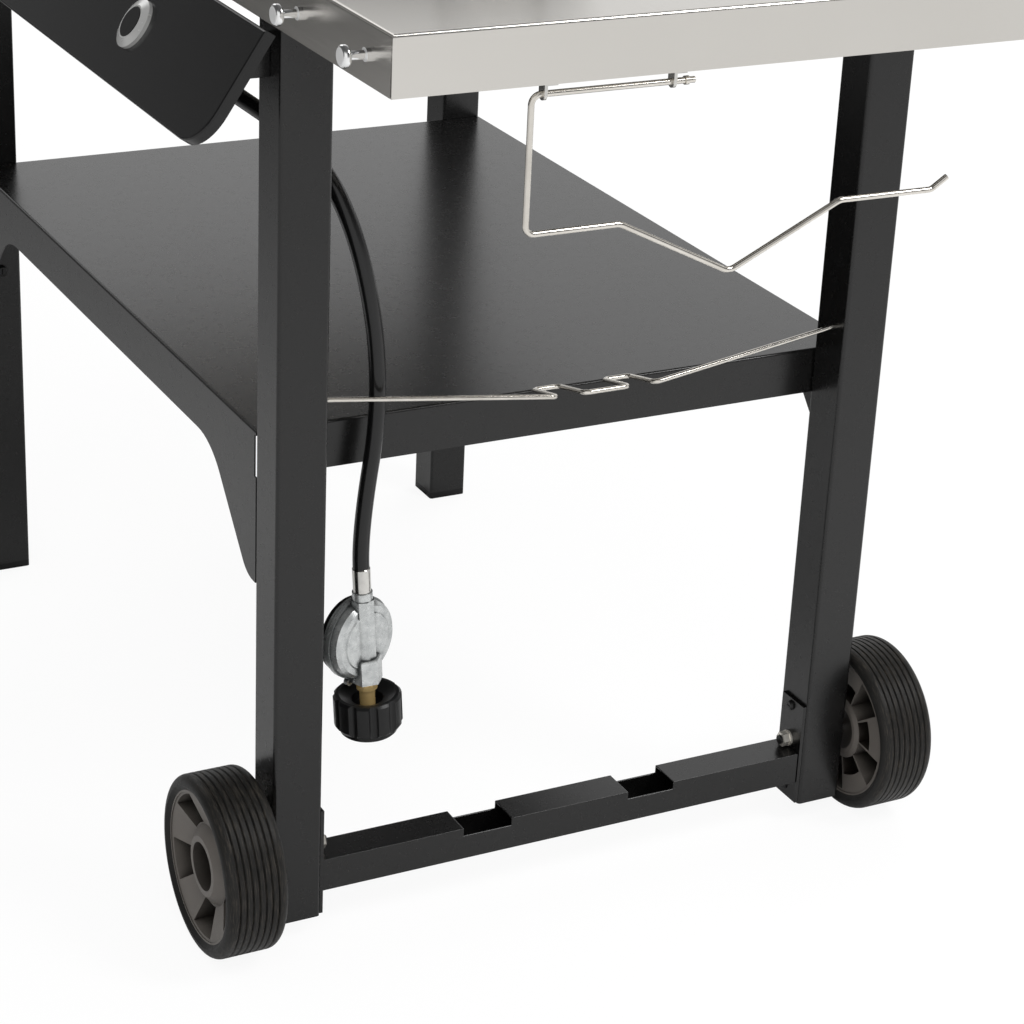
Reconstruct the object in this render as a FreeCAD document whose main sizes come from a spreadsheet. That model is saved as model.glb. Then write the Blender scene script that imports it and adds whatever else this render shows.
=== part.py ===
"""Outdoor wok station: a steel-topped cart on four square legs.

A burner sits in the middle of the top under a wok ring, a sloping control
panel hangs below the front edge, and a gas hose drops beside the right-hand
legs, where a cylinder stands on a notched cross bar between two wheels.

Millimetres, +Z up, +X to the right of the cook, -Y towards the cook.
The origin is on the floor, under the middle of the cart's outline.
"""

import FreeCAD
import Part
import Sketcher
import math
import os

V = FreeCAD.Vector

SIZES = {
    # Frame of square tube.
    "frame_len": 807.0,
    "frame_dep": 550.0,
    "leg_w": 42.0,
    "leg_wall": 1.5,
    "leg_round": 3.0,
    "leg_short": 10.7,
    "rail_w": 25.0,
    "rail_h": 30.0,
    "glide_h": 7.0,
    "plug_h": 18.0,
    "plug_clear": 1.0,
    "slip": 0.1,
    # Table top.
    "table_h": 809.5,
    "skirt": 42.8,
    "over_end": 199.0,
    "over_front": 6.0,
    "sheet": 1.2,
    "top_round": 2.5,
    "hem_end": 14.0,
    "hem_side": 4.0,
    "slit_w": 1.0,
    "slit_h": 16.0,
    "seam_w": 0.6,
    "seam_deep": 0.4,
    "opening_r": 150.0,
    # Tool hooks on the front skirt.
    "hook_first": 50.0,
    "hook_pitch": 113.4,
    "hook_up": 21.3,
    "collar_r": 4.9,
    "collar_len": 3.5,
    "neck_r": 3.25,
    "neck_len": 11.5,
    "head_r": 7.9,
    "head_len": 6.4,
    "head_round": 2.6,
    "stud_r": 2.5,
    "stud_len": 7.0,
    "hook_nut": 8.0,
    # Control panel.
    "lean": 33.5,
    "panel_len": 98.5,
    "panel_deep": 9.0,
    "panel_out": 11.4,
    "panel_gap": 2.7,
    "panel_corner": 32.0,
    "panel_round": 2.0,
    "control_x": 211.0,
    "bracket_t": 3.0,
    "bracket_low": 40.0,
    # Igniter.
    "bezel_r": 20.5,
    "bezel_top_r": 14.2,
    "bezel_h": 5.6,
    "bezel_side": 3.0,
    "button_r": 12.8,
    "button_h": 1.6,
    "button_edge": 0.5,
    "button_low": 4.4,
    "press": 4.0,
    "barrel_r": 11.0,
    "barrel_len": 45.0,
    "plunger_r": 4.0,
    "plunger_len": 24.0,
    "running": 0.06,
    "jam_nut": 28.0,
    "jam_nut_h": 5.0,
    # Knob and valve.
    "knob_r": 22.0,
    "knob_h": 28.0,
    "knob_skirt": 7.0,
    "grip_w": 10.0,
    "grip_half": 19.0,
    "knob_lift": 0.4,
    "ring_r": 28.0,
    "ring_t": 1.8,
    "stem_r": 4.0,
    "stem_out": 20.0,
    "valve_w": 26.0,
    "valve_deep": 38.0,
    "valve_len": 32.0,
    "valve_neck_r": 9.0,
    # Gas line.
    "hose_r": 6.75,
    "ferrule_r": 7.3,
    "ferrule_len": 21.3,
    "ferrule_edge": 0.8,
    "fitting_len": 20.0,
    "fitting_hex": 16.0,
    "fitting_r": 5.5,
    "inlet_ferrule_len": 28.0,
    "feed_r": 5.0,
    "feed_lead": 45.0,
    "feed_bend": 40.0,
    "feed_grip": 18.0,
    # Burner.
    "bowl_low_r": 125.0,
    "bowl_deep": 118.0,
    "bowl_t": 1.5,
    "bowl_flange": 15.0,
    "vent_r": 10.0,
    "burner_r": 85.0,
    "burner_h": 30.0,
    "foot_h": 24.0,
    "foot_r": 7.0,
    "foot_in": 28.0,
    "port_r": 3.0,
    "mixer_r": 13.0,
    "mixer_drop": 55.0,
    "mixer_reach": 95.0,
    # Wok ring and wok.
    "ring_in_r": 152.0,
    "ring_out_r": 190.0,
    "ring_wall_r": 172.0,
    "ring_lip_r": 143.0,
    "ring_h": 57.0,
    "ring_lean": 21.0,
    "air_slot": 36.0,
    "ring_base": 4.0,
    "ring_wall": 5.0,
    "wok_r": 207.0,
    "wok_rim": 180.0,
    "wok_wall": 2.0,
    "wok_gap": 0.5,
    "handle_r": 4.0,
    "handle_half": 45.0,
    "handle_out": 42.0,
    "handle_rise": 14.0,
    "handle_drop": 26.0,
    "handle_bend": 18.0,
    # Lower shelf.
    "shelf_z": 439.7,
    "shelf_drop": 44.0,
    "shelf_end": 39.3,
    "fold_r": 2.2,
    "tongue_drop": 128.9,
    "tongue_foot": 17.8,
    "tongue_run": 95.5,
    "tongue_out_r": 28.0,
    "tongue_in_r": 65.0,
    "slot_w": 3.0,
    "slot_top": 3.7,
    "slot_low": 38.7,
    "cheek_w": 36.0,
    "cheek_low": 122.7,
    "bolt_in": 22.0,
    "bolt_down": 110.3,
    "bolt_r": 3.0,
    "bolt_head_r": 6.0,
    "bolt_head_h": 3.4,
    "bolt_end": 8.0,
    # Cross bar.
    "bar_w": 32.0,
    "bar_h": 29.0,
    "bar_wall": 1.5,
    "bar_top": 68.4,
    "bar_in": 2.75,
    "notch_len": 45.0,
    "notch_pitch": 158.0,
    "notch_deep": 7.0,
    "plate_t": 3.0,
    "plate_w": 34.0,
    "plate_low": 19.0,
    "plate_high": 115.5,
    "screw_low": 29.0,
    "screw_high": 109.0,
    "screw_r": 2.5,
    "screw_head_r": 4.6,
    "screw_head_h": 2.8,
    "screw_end": 6.0,
    # Wheels.
    "wheel_r": 76.0,
    "wheel_w": 52.0,
    "wheel_gap": 7.6,
    "shoulder_r": 7.5,
    "rim_r": 63.5,
    "rim_side": 3.0,
    "rim_lip": 1.6,
    "rim_step": 0.8,
    "bead": 4.0,
    "groove_pitch": 5.5,
    "groove_w": 2.0,
    "groove_deep": 1.4,
    "boss_r": 34.0,
    "boss_top_r": 25.3,
    "boss_out": 19.8,
    "boss_in": 24.0,
    "boss_in_r": 24.0,
    "boss_hole_r": 20.2,
    "boss_hole": 15.8,
    "dish": 12.5,
    "web_skin": 3.0,
    "cell_at": 58.0,
    "cell_in_r": 35.0,
    "cell_out_r": 60.0,
    "cell_turn": 17.5,
    "wedge_turn": 15.5,
    "back_in_r": 29.0,
    "ledge_r": 45.0,
    "ledge": 10.0,
    "axle_r": 4.0,
    "axle_head": 13.0,
    "axle_head_h": 5.5,
    "washer_r": 9.0,
    "washer_t": 1.5,
    "axle_nut": 12.0,
    "nut_h": 8.0,
    "nut_flange_r": 7.3,
    "nut_flange_t": 1.8,
    "spacer_r": 8.0,
    "seat": 0.3,
    # Wire that keeps the cylinder in place.
    "keeper_r": 2.0,
    "keeper_z": 471.0,
    "keeper_in": 11.0,
    "keeper_out": 26.5,
    "keeper_fall": 14.0,
    "keeper_flat": 12.0,
    "keeper_notch": 42.5,
    "keeper_notch_fall": 10.2,
    "keeper_bend": 5.0,
    "keeper_end": 8.0,
    # Wire roll holder under the right-hand end.
    "roll_r": 2.25,
    "roll_in": 8.1,
    "roll_down": 8.3,
    "roll_front": 101.0,
    "roll_back": 227.0,
    "roll_drop": 98.4,
    "roll_bend": 7.0,
    "clip_first": 109.6,
    "clip_second": 209.6,
    "clip_t": 2.4,
    "clip_wall": 2.0,
    "clip_foot": 9.0,
    "stop_at": 9.5,
    "stop_len": 3.0,
    "stop_step": 0.9,
    # Gas regulator on the end of the hose.
    "hose_lead": 30.0,
    "reg_tilt": 4.0,
    "reg_turn": 22.0,
    "reg_disc_r": 33.5,
    "reg_disc_t": 18.0,
    "reg_disc_back": 14.0,
    "reg_disc_down": 44.0,
    "reg_flange": 1.5,
    "reg_flange_t": 4.0,
    "reg_lug_r": 3.4,
    "reg_lug_hole_r": 1.5,
    "reg_neck_h": 6.8,
    "reg_neck_step": 1.0,
    "reg_keel": 17.0,
    "reg_keel_cut": 4.5,
    "reg_keel_h": 52.0,
    "reg_hex": 23.5,
    "reg_hex_h": 21.5,
    "reg_hex_round": 2.0,
    "reg_cap_r": 32.0,
    "reg_cap_h": 8.0,
    "reg_vent_r": 11.0,
    "reg_vent_h": 6.0,
    "nipple_r": 6.5,
    "nipple_bore_r": 2.5,
    "nipple_len": 38.0,
    "nipple_collar_r": 8.7,
    "nipple_collar_h": 7.0,
    "nipple_flange_r": 10.5,
    "nipple_flange_t": 6.0,
    "nut_r": 28.0,
    "nut_down": 12.0,
    "nut_body": 29.0,
    "nut_rim_r": 23.5,
    "nut_rim": 5.0,
    "nut_lip": 5.0,
    "nut_dish": 5.0,
    "nut_recess_r": 13.0,
    "nut_web": 8.0,
    "nut_socket_r": 16.0,
    "flute_r": 4.5,
}

doc = FreeCAD.newDocument("wok_station")
sheet = doc.addObject("Spreadsheet::Sheet", "Sizes")
for row, (alias, number) in enumerate(SIZES.items(), start=1):
    sheet.set("A%d" % row, alias)
    sheet.set("B%d" % row, str(number))
    sheet.setAlias("B%d" % row, alias)
doc.recompute()


class Size:
    """A size: its number, and the sheet formula that gives it."""

    def __init__(self, value, text):
        self.value = float(value)
        self.text = text

    def __add__(self, other):
        other = as_size(other)
        return Size(self.value + other.value, "(%s + %s)" % (self.text, other.text))

    def __sub__(self, other):
        other = as_size(other)
        return Size(self.value - other.value, "(%s - %s)" % (self.text, other.text))

    def __mul__(self, other):
        other = as_size(other)
        return Size(self.value * other.value, "(%s * %s)" % (self.text, other.text))

    def __truediv__(self, other):
        other = as_size(other)
        return Size(self.value / other.value, "(%s / %s)" % (self.text, other.text))

    def __radd__(self, other):
        return as_size(other) + self

    def __rsub__(self, other):
        return as_size(other) - self

    def __rmul__(self, other):
        return as_size(other) * self

    def __neg__(self):
        return Size(-self.value, "(0 - %s)" % self.text)


def as_size(value):
    if isinstance(value, Size):
        return value
    return Size(value, "(%s)" % repr(float(value)))


def sine(angle):
    return Size(math.sin(math.radians(angle.value)), "sin(%s * 1 deg)" % angle.text)


def cosine(angle):
    return Size(math.cos(math.radians(angle.value)), "cos(%s * 1 deg)" % angle.text)


def root(square):
    return Size(math.sqrt(square.value), "sqrt(%s)" % square.text)


class Sizes:
    """Every cell of the sheet as an attribute."""


S = Sizes()
for alias in SIZES:
    setattr(S, alias, Size(sheet.get(alias), "Sizes." + alias))


def bind(obj, prop, value):
    """Ties a property to the sheet."""
    value = as_size(value)
    obj.setExpression(prop, value.text)


def new_body(label):
    body = doc.addObject("PartDesign::Body", label)
    body.Label = label
    return body


def new_sketch(body, role, lift=0.0, rise=0.0, turn=0.0):
    """A sketch on one of the body's own planes, lifted along its normal, raised in it and turned about its upright."""
    plane = [f for f in body.Origin.OriginFeatures if f.Role == role][0]
    sketch = body.newObject("Sketcher::SketchObject", body.Name + "_sketch")
    sketch.AttachmentSupport = [(plane, "")]
    sketch.MapMode = "FlatFace"
    lift = as_size(lift)
    rise = as_size(rise)
    turn = as_size(turn)
    swing = FreeCAD.Rotation(V(0, 1, 0), turn.value)
    sketch.AttachmentOffset = FreeCAD.Placement(V(0, rise.value, lift.value), swing)
    if abs(turn.value) > 1e-9:
        sketch.setExpression("AttachmentOffset.Rotation.Angle", turn.text)
    for axis, shift in (("y", rise), ("z", lift)):
        if abs(shift.value) > 1e-9:
            sketch.setExpression("AttachmentOffset.Base." + axis, shift.text)
    return sketch


def pin(sketch, geo, pos, x, y):
    """Fixes one point of a sketch at x, y."""
    for kind, axis, value in (("DistanceX", -2, as_size(x)), ("DistanceY", -1, as_size(y))):
        if abs(value.value) < 1e-9:
            sketch.addConstraint(Sketcher.Constraint("PointOnObject", geo, pos, axis))
        else:
            number = sketch.addConstraint(Sketcher.Constraint(kind, -1, 1, geo, pos, value.value))
            sketch.setExpression("Constraints[%d]" % number, value.text)


def polygon(sketch, points):
    points = [(as_size(x), as_size(y)) for x, y in points]
    first = sketch.GeometryCount
    count = len(points)
    for i in range(count):
        a = points[i]
        b = points[(i + 1) % count]
        sketch.addGeometry(Part.LineSegment(V(a[0].value, a[1].value, 0), V(b[0].value, b[1].value, 0)))
    for i in range(count):
        sketch.addConstraint(Sketcher.Constraint("Coincident", first + i, 2, first + (i + 1) % count, 1))
    for i in range(count):
        pin(sketch, first + i, 1, points[i][0], points[i][1])


def rectangle(sketch, x0, x1, y0, y1):
    polygon(sketch, [(x0, y0), (x1, y0), (x1, y1), (x0, y1)])


def circle(sketch, x, y, radius):
    x = as_size(x)
    y = as_size(y)
    radius = as_size(radius)
    geo = sketch.addGeometry(Part.Circle(V(x.value, y.value, 0), V(0, 0, 1), radius.value))
    number = sketch.addConstraint(Sketcher.Constraint("Radius", geo, radius.value))
    sketch.setExpression("Constraints[%d]" % number, radius.text)
    pin(sketch, geo, 3, x, y)


def hexagon(sketch, across):
    """A hexagon about the sketch's origin, with flats facing up and down."""
    flat = across / 2
    corner = across / math.sqrt(3)
    half = corner / 2
    polygon(sketch, [(corner, 0), (half, flat), (-half, flat), (-corner, 0), (-half, -flat), (half, -flat)])


def pad(body, sketch, length, reverse=False):
    feature = body.newObject("PartDesign::Pad", body.Name + "_pad")
    feature.Profile = sketch
    feature.Length = as_size(length).value
    bind(feature, "Length", length)
    feature.Reversed = reverse
    return feature


def pocket(body, sketch, length, reverse=False):
    """Cuts against the sketch's normal, or along it when reversed."""
    doc.recompute()
    before = body.Tip.Shape.Volume
    feature = body.newObject("PartDesign::Pocket", body.Name + "_pocket")
    feature.Profile = sketch
    feature.Length = as_size(length).value
    bind(feature, "Length", length)
    feature.Reversed = reverse
    doc.recompute()
    if feature.Shape.Volume > before - 0.01:
        raise RuntimeError("a cut misses " + body.Label)
    return feature


def revolve(body, sketch, axis="V_Axis"):
    """A full turn about the sketch's upright axis, or its level one."""
    feature = body.newObject("PartDesign::Revolution", body.Name + "_turn")
    feature.Profile = sketch
    feature.ReferenceAxis = (sketch, [axis])
    feature.Angle = 360.0
    return feature


def groove(body, sketch, half_turn):
    """Cuts part of a turn about the sketch's upright axis, evenly to both sides of it."""
    doc.recompute()
    before = body.Tip.Shape.Volume
    feature = body.newObject("PartDesign::Groove", body.Name + "_groove")
    feature.Profile = sketch
    feature.ReferenceAxis = (sketch, ["V_Axis"])
    feature.Midplane = True
    feature.Angle = half_turn.value * 2
    bind(feature, "Angle", half_turn * 2)
    doc.recompute()
    if feature.Shape.Volume > before - 0.01:
        raise RuntimeError("a cut misses " + body.Label)
    return feature


def around(body, feature, count, role="Z_Axis"):
    """Repeats a feature evenly around one of the body's axes."""
    axis = [f for f in body.Origin.OriginFeatures if f.Role == role][0]
    pattern = body.newObject("PartDesign::PolarPattern", body.Name + "_around")
    pattern.Originals = [feature]
    pattern.Axis = (axis, [""])
    pattern.Angle = 360.0
    pattern.Occurrences = count
    body.Tip = pattern
    return pattern


def near(value, wanted):
    if wanted is None:
        return True
    if not isinstance(wanted, (list, tuple)):
        wanted = [wanted]
    return any(abs(value - as_size(w).value) < 0.01 for w in wanted)


def edges_at(shape, x=None, y=None, z=None, least=0.0):
    """Names of the edges that lie wholly at the given coordinates."""
    names = []
    for i, edge in enumerate(shape.Edges, start=1):
        start = edge.FirstParameter
        span = edge.LastParameter - start
        points = [edge.valueAt(start + span * k) for k in (0.0, 0.37, 0.71, 1.0)]
        if edge.Length < least:
            continue
        if all(near(p.x, x) and near(p.y, y) and near(p.z, z) for p in points):
            names.append("Edge%d" % i)
    return names


def soften(body, kind, amount, names=None, **where):
    """A fillet or chamfer on the edges found at the given coordinates."""
    doc.recompute()
    base = body.Tip
    names = names or edges_at(base.Shape, **where)
    if not names:
        raise RuntimeError("no edge to soften on " + body.Label)
    feature = body.newObject("PartDesign::" + kind, body.Name + "_" + kind.lower())
    feature.Base = (base, names)
    prop = "Radius" if kind == "Fillet" else "Size"
    bind(feature, prop, amount)
    doc.recompute()
    return feature


def ring_edges(shape, radius, z):
    """Names of the round edges about the Z axis at a radius and a height."""
    names = []
    for i, edge in enumerate(shape.Edges, start=1):
        start = edge.FirstParameter
        span = edge.LastParameter - start
        points = [edge.valueAt(start + span * k) for k in (0.0, 0.37, 0.71, 1.0)]
        if all(near(math.hypot(p.x, p.y), radius) and near(p.z, z) for p in points):
            names.append("Edge%d" % i)
    return names


def place(obj, x=0.0, y=0.0, z=0.0, axis=(0, 0, 1), angle=0.0):
    """Sets a placement and ties it to the sheet."""
    x, y, z, angle = (as_size(v) for v in (x, y, z, angle))
    turn = FreeCAD.Rotation(V(*axis), angle.value)
    obj.Placement = FreeCAD.Placement(V(x.value, y.value, z.value), turn)
    for name, value in (("x", x), ("y", y), ("z", z)):
        obj.setExpression("Placement.Base." + name, value.text)
    if abs(angle.value) > 1e-9:
        obj.setExpression("Placement.Rotation.Angle", angle.text)


def mirror_of(source, normal, base_y=0.0):
    """A mirror image across a plane through the cart's middle."""
    image = doc.addObject("Part::Mirroring", source.Name + "_image")
    image.Source = source
    image.Normal = V(*normal)
    base_y = as_size(base_y)
    image.Base = V(0, base_y.value, 0)
    image.setExpression("Base.y", base_y.text)
    return image


def group(label, members):
    """Several like solids kept as one named piece."""
    compound = doc.addObject("Part::Compound", label)
    compound.Label = label
    compound.Links = members
    return compound


def route(points, bends):
    """Straight runs joined by tangent arcs, as one wire."""
    edges = []
    at = points[0]
    for i in range(1, len(points) - 1):
        corner = points[i]
        back = (points[i - 1] - corner).normalize()
        ahead = (points[i + 1] - corner).normalize()
        half_turn = (math.pi - back.getAngle(ahead)) / 2
        trim = bends[i - 1] * math.tan(half_turn)
        enter = corner + back * trim
        leave = corner + ahead * trim
        inward = (back + ahead).normalize()
        middle = corner + inward * (bends[i - 1] / math.cos(half_turn) - bends[i - 1])
        edges.append(Part.LineSegment(at, enter).toShape())
        edges.append(Part.Arc(enter, middle, leave).toShape())
        at = leave
    edges.append(Part.LineSegment(at, points[-1]).toShape())
    return Part.Wire(edges)


def rod(points, radius, bends):
    """A round bar swept along a route."""
    if not isinstance(bends, (list, tuple)):
        bends = [bends] * (len(points) - 2)
    spine = route(points, bends)
    start = points[1] - points[0]
    section = Part.Wire([Part.Circle(points[0], start, radius).toShape()])
    solid = spine.makePipeShell([section], True, False)
    wanted = math.pi * radius ** 2 * spine.Length
    if abs(solid.Volume - wanted) > 0.01 * wanted:
        raise RuntimeError("a swept bar has the wrong volume")
    return solid


def feature_of(label, shape):
    obj = doc.addObject("Part::Feature", label)
    obj.Label = label
    obj.Shape = shape
    return obj


pieces = []


def keep(*objects):
    pieces.extend(objects)


# Shared places. The frame stands a little behind the origin, so that the
# knob in front and the rear wheel behind reach equally far from it.
half_x = S.frame_len / 2
half_y = S.frame_dep / 2
panel_mid = S.panel_len / 2
front_reach = (half_y + S.panel_out + panel_mid * sine(S.lean)
               + S.knob_h * cosine(S.lean) + S.grip_half * sine(S.lean))
rear_reach = half_y + S.wheel_gap + S.wheel_w
mid_y = (front_reach - rear_reach) / 2
front_y = mid_y - half_y
rear_y = mid_y + half_y
under_top = S.table_h - S.sheet
leg_x = half_x - S.leg_w / 2
leg_y = half_y - S.leg_w / 2
inner_x = half_x - S.leg_w
inner_y = half_y - S.leg_w
right_low = S.glide_h + S.leg_short
end_x = half_x + S.over_end
skirt_low = S.table_h - S.skirt
panel_y = front_y - S.panel_out - panel_mid * sine(S.lean)
panel_z = skirt_low - S.panel_gap - panel_mid * cosine(S.lean)
panel_tilt = 90 - S.lean
axle_x = leg_x
axle_z = S.wheel_r


def on_panel(obj, x=0.0):
    """Stands a piece on the panel's face, its own Z pointing outwards."""
    place(obj, x, panel_y, panel_z, (1, 0, 0), panel_tilt)


def square_tube(body, role, lift, x, y, half_w, half_h, wall, length, reverse):
    """A rectangular tube whose section is centred at x, y of a sketch."""
    sketch = new_sketch(body, role, lift)
    rectangle(sketch, x - half_w, x + half_w, y - half_h, y + half_h)
    rectangle(sketch, x - half_w + wall, x + half_w - wall, y - half_h + wall, y + half_h - wall)
    return pad(body, sketch, length, reverse)


# Legs: square tubes up to the underside of the top. The right-hand pair stops
# short of the floor, carries the wheels, and is drilled for the axle, the
# shelf bolts and the ends of the cylinder wire.
def leg(label, side_x, side_y):
    body = new_body(label)
    half = S.leg_w / 2
    low = right_low if side_x > 0 else S.glide_h
    square_tube(body, "XY_Plane", 0, 0 * half, 0 * half, half, half, S.leg_wall, under_top - low, False)
    soften(body, "Fillet", S.leg_round, x=(-half, half), y=(-half, half))
    inside = half - S.leg_wall
    soften(body, "Fillet", S.leg_round - S.leg_wall, x=(-inside, inside), y=(-inside, inside))
    bolt = new_sketch(body, "YZ_Plane")
    circle(bolt, side_y * (half - S.bolt_in), S.shelf_z - S.bolt_down - low, S.bolt_r + S.slip)
    pocket(body, bolt, half, side_x < 0)
    if side_x > 0:
        axle = new_sketch(body, "XZ_Plane", half)
        circle(axle, 0, axle_z - low, S.axle_r + S.slip)
        pocket(body, axle, S.leg_w)
        wire = new_sketch(body, "XZ_Plane")
        circle(wire, half - S.keeper_in, S.keeper_z - low, S.keeper_r + S.running)
        circle(wire, 0, S.screw_low - low, S.screw_r + S.slip)
        circle(wire, 0, S.screw_high - low, S.screw_r + S.slip)
        pocket(body, wire, half, side_y > 0)
    place(body, side_x * leg_x, mid_y + side_y * leg_y, low)
    return body


keep(leg("leg_front_right", 1, -1))
keep(leg("leg_rear_right", 1, 1))
keep(leg("leg_front_left", -1, -1))
keep(leg("leg_rear_left", -1, 1))


# Glides under the left-hand legs and plugs in the right-hand ones.
def leg_stop(label, side_x, foot):
    body = new_body(label)
    half = S.leg_w / 2
    inside = half - S.leg_wall - S.slip
    sketch = new_sketch(body, "XY_Plane")
    rectangle(sketch, -inside, inside, -inside, inside)
    pad(body, sketch, S.plug_h if foot else S.screw_low - S.screw_r - S.plug_clear - right_low)
    soften(body, "Fillet", S.leg_round - S.leg_wall, x=(-inside, inside), y=(-inside, inside))
    if foot:
        base = new_sketch(body, "XY_Plane")
        rectangle(base, -half, half, -half, half)
        pad(body, base, S.glide_h, True)
        soften(body, "Fillet", S.leg_round, x=(-half, half), y=(-half, half))
    place(body, side_x * leg_x, mid_y - leg_y, S.glide_h if foot else right_low)
    return group(label + "s", [body, mirror_of(body, (0, 1, 0), mid_y)])


keep(leg_stop("foot_glide", -1, True))
keep(leg_stop("leg_plug", 1, False))


# Rails that tie the legs together just under the top.
def long_rail(label, side_y):
    body = new_body(label)
    square_tube(body, "YZ_Plane", -inner_x, 0 * S.rail_w, 0 * S.rail_w, S.rail_w / 2, S.rail_h / 2,
                S.leg_wall, inner_x * 2, False)
    place(body, 0, mid_y + side_y * leg_y, under_top - S.rail_h / 2)
    return body


def cross_rail(label, side_x):
    body = new_body(label)
    square_tube(body, "XZ_Plane", inner_y, 0 * S.rail_w, 0 * S.rail_w, S.rail_w / 2, S.rail_h / 2,
                S.leg_wall, inner_y * 2, True)
    place(body, side_x * leg_x, mid_y, under_top - S.rail_h / 2)
    return body


keep(long_rail("rail_front", -1))
keep(long_rail("rail_rear", 1))
keep(cross_rail("rail_left", -1))
keep(cross_rail("rail_right", 1))


# Table top: a folded tray of steel sheet with a hemmed skirt, a slit at each
# corner fold, the burner opening and the holes of the hooks.
def table_top():
    body = new_body("table_top")
    deep = half_y + S.over_front
    outer = new_sketch(body, "XY_Plane")
    rectangle(outer, -end_x, end_x, -deep, deep)
    pad(body, outer, S.skirt)
    soften(body, "Fillet", S.top_round, z=S.skirt)
    inner = new_sketch(body, "XY_Plane", S.sheet)
    rectangle(inner, S.sheet - end_x, end_x - S.sheet, S.sheet - deep, deep - S.sheet)
    pocket(body, inner, S.skirt - 2 * S.sheet, True)
    mouth = new_sketch(body, "XY_Plane")
    rectangle(mouth, S.hem_end - end_x, end_x - S.hem_end, S.hem_side - deep, deep - S.hem_side)
    pocket(body, mouth, S.sheet * 2, True)
    hole = new_sketch(body, "XY_Plane", S.skirt)
    circle(hole, 0, -mid_y, S.opening_r)
    pocket(body, hole, S.sheet * 2)
    for lift, back in ((deep, False), (-deep, True)):
        slits = new_sketch(body, "XZ_Plane", lift)
        seams = new_sketch(body, "XZ_Plane", lift)
        for side in (-1, 1):
            fold = side * (end_x - S.sheet)
            rectangle(slits, fold, fold - side * S.slit_w, -S.sheet, S.slit_h)
            rectangle(seams, fold, fold - side * S.seam_w, S.slit_h, S.skirt - S.top_round)
        pocket(body, slits, S.sheet * 1.5, back)
        pocket(body, seams, S.seam_deep, back)
    hooks = new_sketch(body, "XZ_Plane", deep)
    for at in (half_x + S.hook_first, half_x + S.hook_first + S.hook_pitch):
        circle(hooks, at, S.hook_up, S.stud_r + S.slip)
    pocket(body, hooks, S.sheet * 2)
    place(body, 0, mid_y, skirt_low)
    return body


keep(table_top())


# Tool hooks: a collar on the skirt, a slim neck and a broad head, each held
# by a stud and a nut behind the skirt.
def tool_hooks():
    studs = []
    nuts = []
    for n in (0, 1):
        body = new_body("hook_%d" % n)
        a = S.collar_len
        b = a + S.neck_len
        c = b + S.head_len
        low = -S.stud_len
        sketch = new_sketch(body, "XZ_Plane")
        polygon(sketch, [(0, low), (S.stud_r, low), (S.stud_r, 0), (S.collar_r, 0), (S.collar_r, a),
                         (S.neck_r, a), (S.neck_r, b), (S.head_r, b), (S.head_r, c), (0, c)])
        revolve(body, sketch)
        doc.recompute()
        soften(body, "Fillet", S.head_round, names=ring_edges(body.Tip.Shape, S.head_r, (b, c)))
        at = half_x + S.hook_first + n * S.hook_pitch
        skin = front_y - S.over_front
        place(body, at, skin, skirt_low + S.hook_up, (1, 0, 0), 90)
        studs.append(body)
        nut = new_body("hook_nut_%d" % n)
        face = new_sketch(nut, "XY_Plane")
        hexagon(face, S.hook_nut)
        circle(face, 0, 0, S.stud_r + S.slip / 2)
        pad(nut, face, S.neck_r)
        place(nut, at, skin + S.sheet + S.neck_r, skirt_low + S.hook_up, (1, 0, 0), 90)
        nuts.append(nut)
    return group("tool_hooks", studs), group("hook_nuts", nuts)


keep(*tool_hooks())


# Control panel: a shallow pan leaning out at the bottom, with rounded lower
# corners and holes for the valve stem and the igniter.
def control_panel():
    body = new_body("control_panel")
    face = new_sketch(body, "XY_Plane")
    rectangle(face, -half_x, half_x, -panel_mid, panel_mid)
    pad(body, face, S.panel_deep, True)
    inside_x = half_x - S.sheet
    inside_y = panel_mid - S.sheet
    hollow = new_sketch(body, "XY_Plane", -S.panel_deep)
    rectangle(hollow, -inside_x, inside_x, -inside_y, inside_y)
    pocket(body, hollow, S.panel_deep - S.sheet, True)
    soften(body, "Fillet", S.panel_corner - S.sheet, x=(-inside_x, inside_x), y=-inside_y)
    soften(body, "Fillet", S.panel_corner, x=(-half_x, half_x), y=-panel_mid)
    soften(body, "Fillet", S.panel_round, z=0)
    holes = new_sketch(body, "XY_Plane")
    circle(holes, -S.control_x, 0, S.stem_r + 1)
    circle(holes, S.control_x, 0, S.barrel_r + S.slip)
    pocket(body, holes, S.sheet * 2)
    on_panel(body)
    return body


keep(control_panel())


# Gusset plates between the panel's back and the front legs.
def panel_brackets():
    plate = new_body("panel_bracket")
    top = -(S.panel_deep * sine(S.lean) + S.sheet * cosine(S.lean) + S.seat)
    low = -S.bracket_low
    slope = sine(S.lean) / cosine(S.lean)
    skin = S.sheet / cosine(S.lean)
    sketch = new_sketch(plate, "YZ_Plane", -S.bracket_t / 2)
    polygon(sketch, [(0, top), (0, low), (low * slope + skin - S.panel_out, low),
                     (top * slope + skin - S.panel_out, top)])
    pad(plate, sketch, S.bracket_t)
    place(plate, leg_x, front_y, skirt_low - S.panel_gap)
    return group("panel_brackets", [plate, mirror_of(plate, (1, 0, 0))])


keep(panel_brackets())


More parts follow.
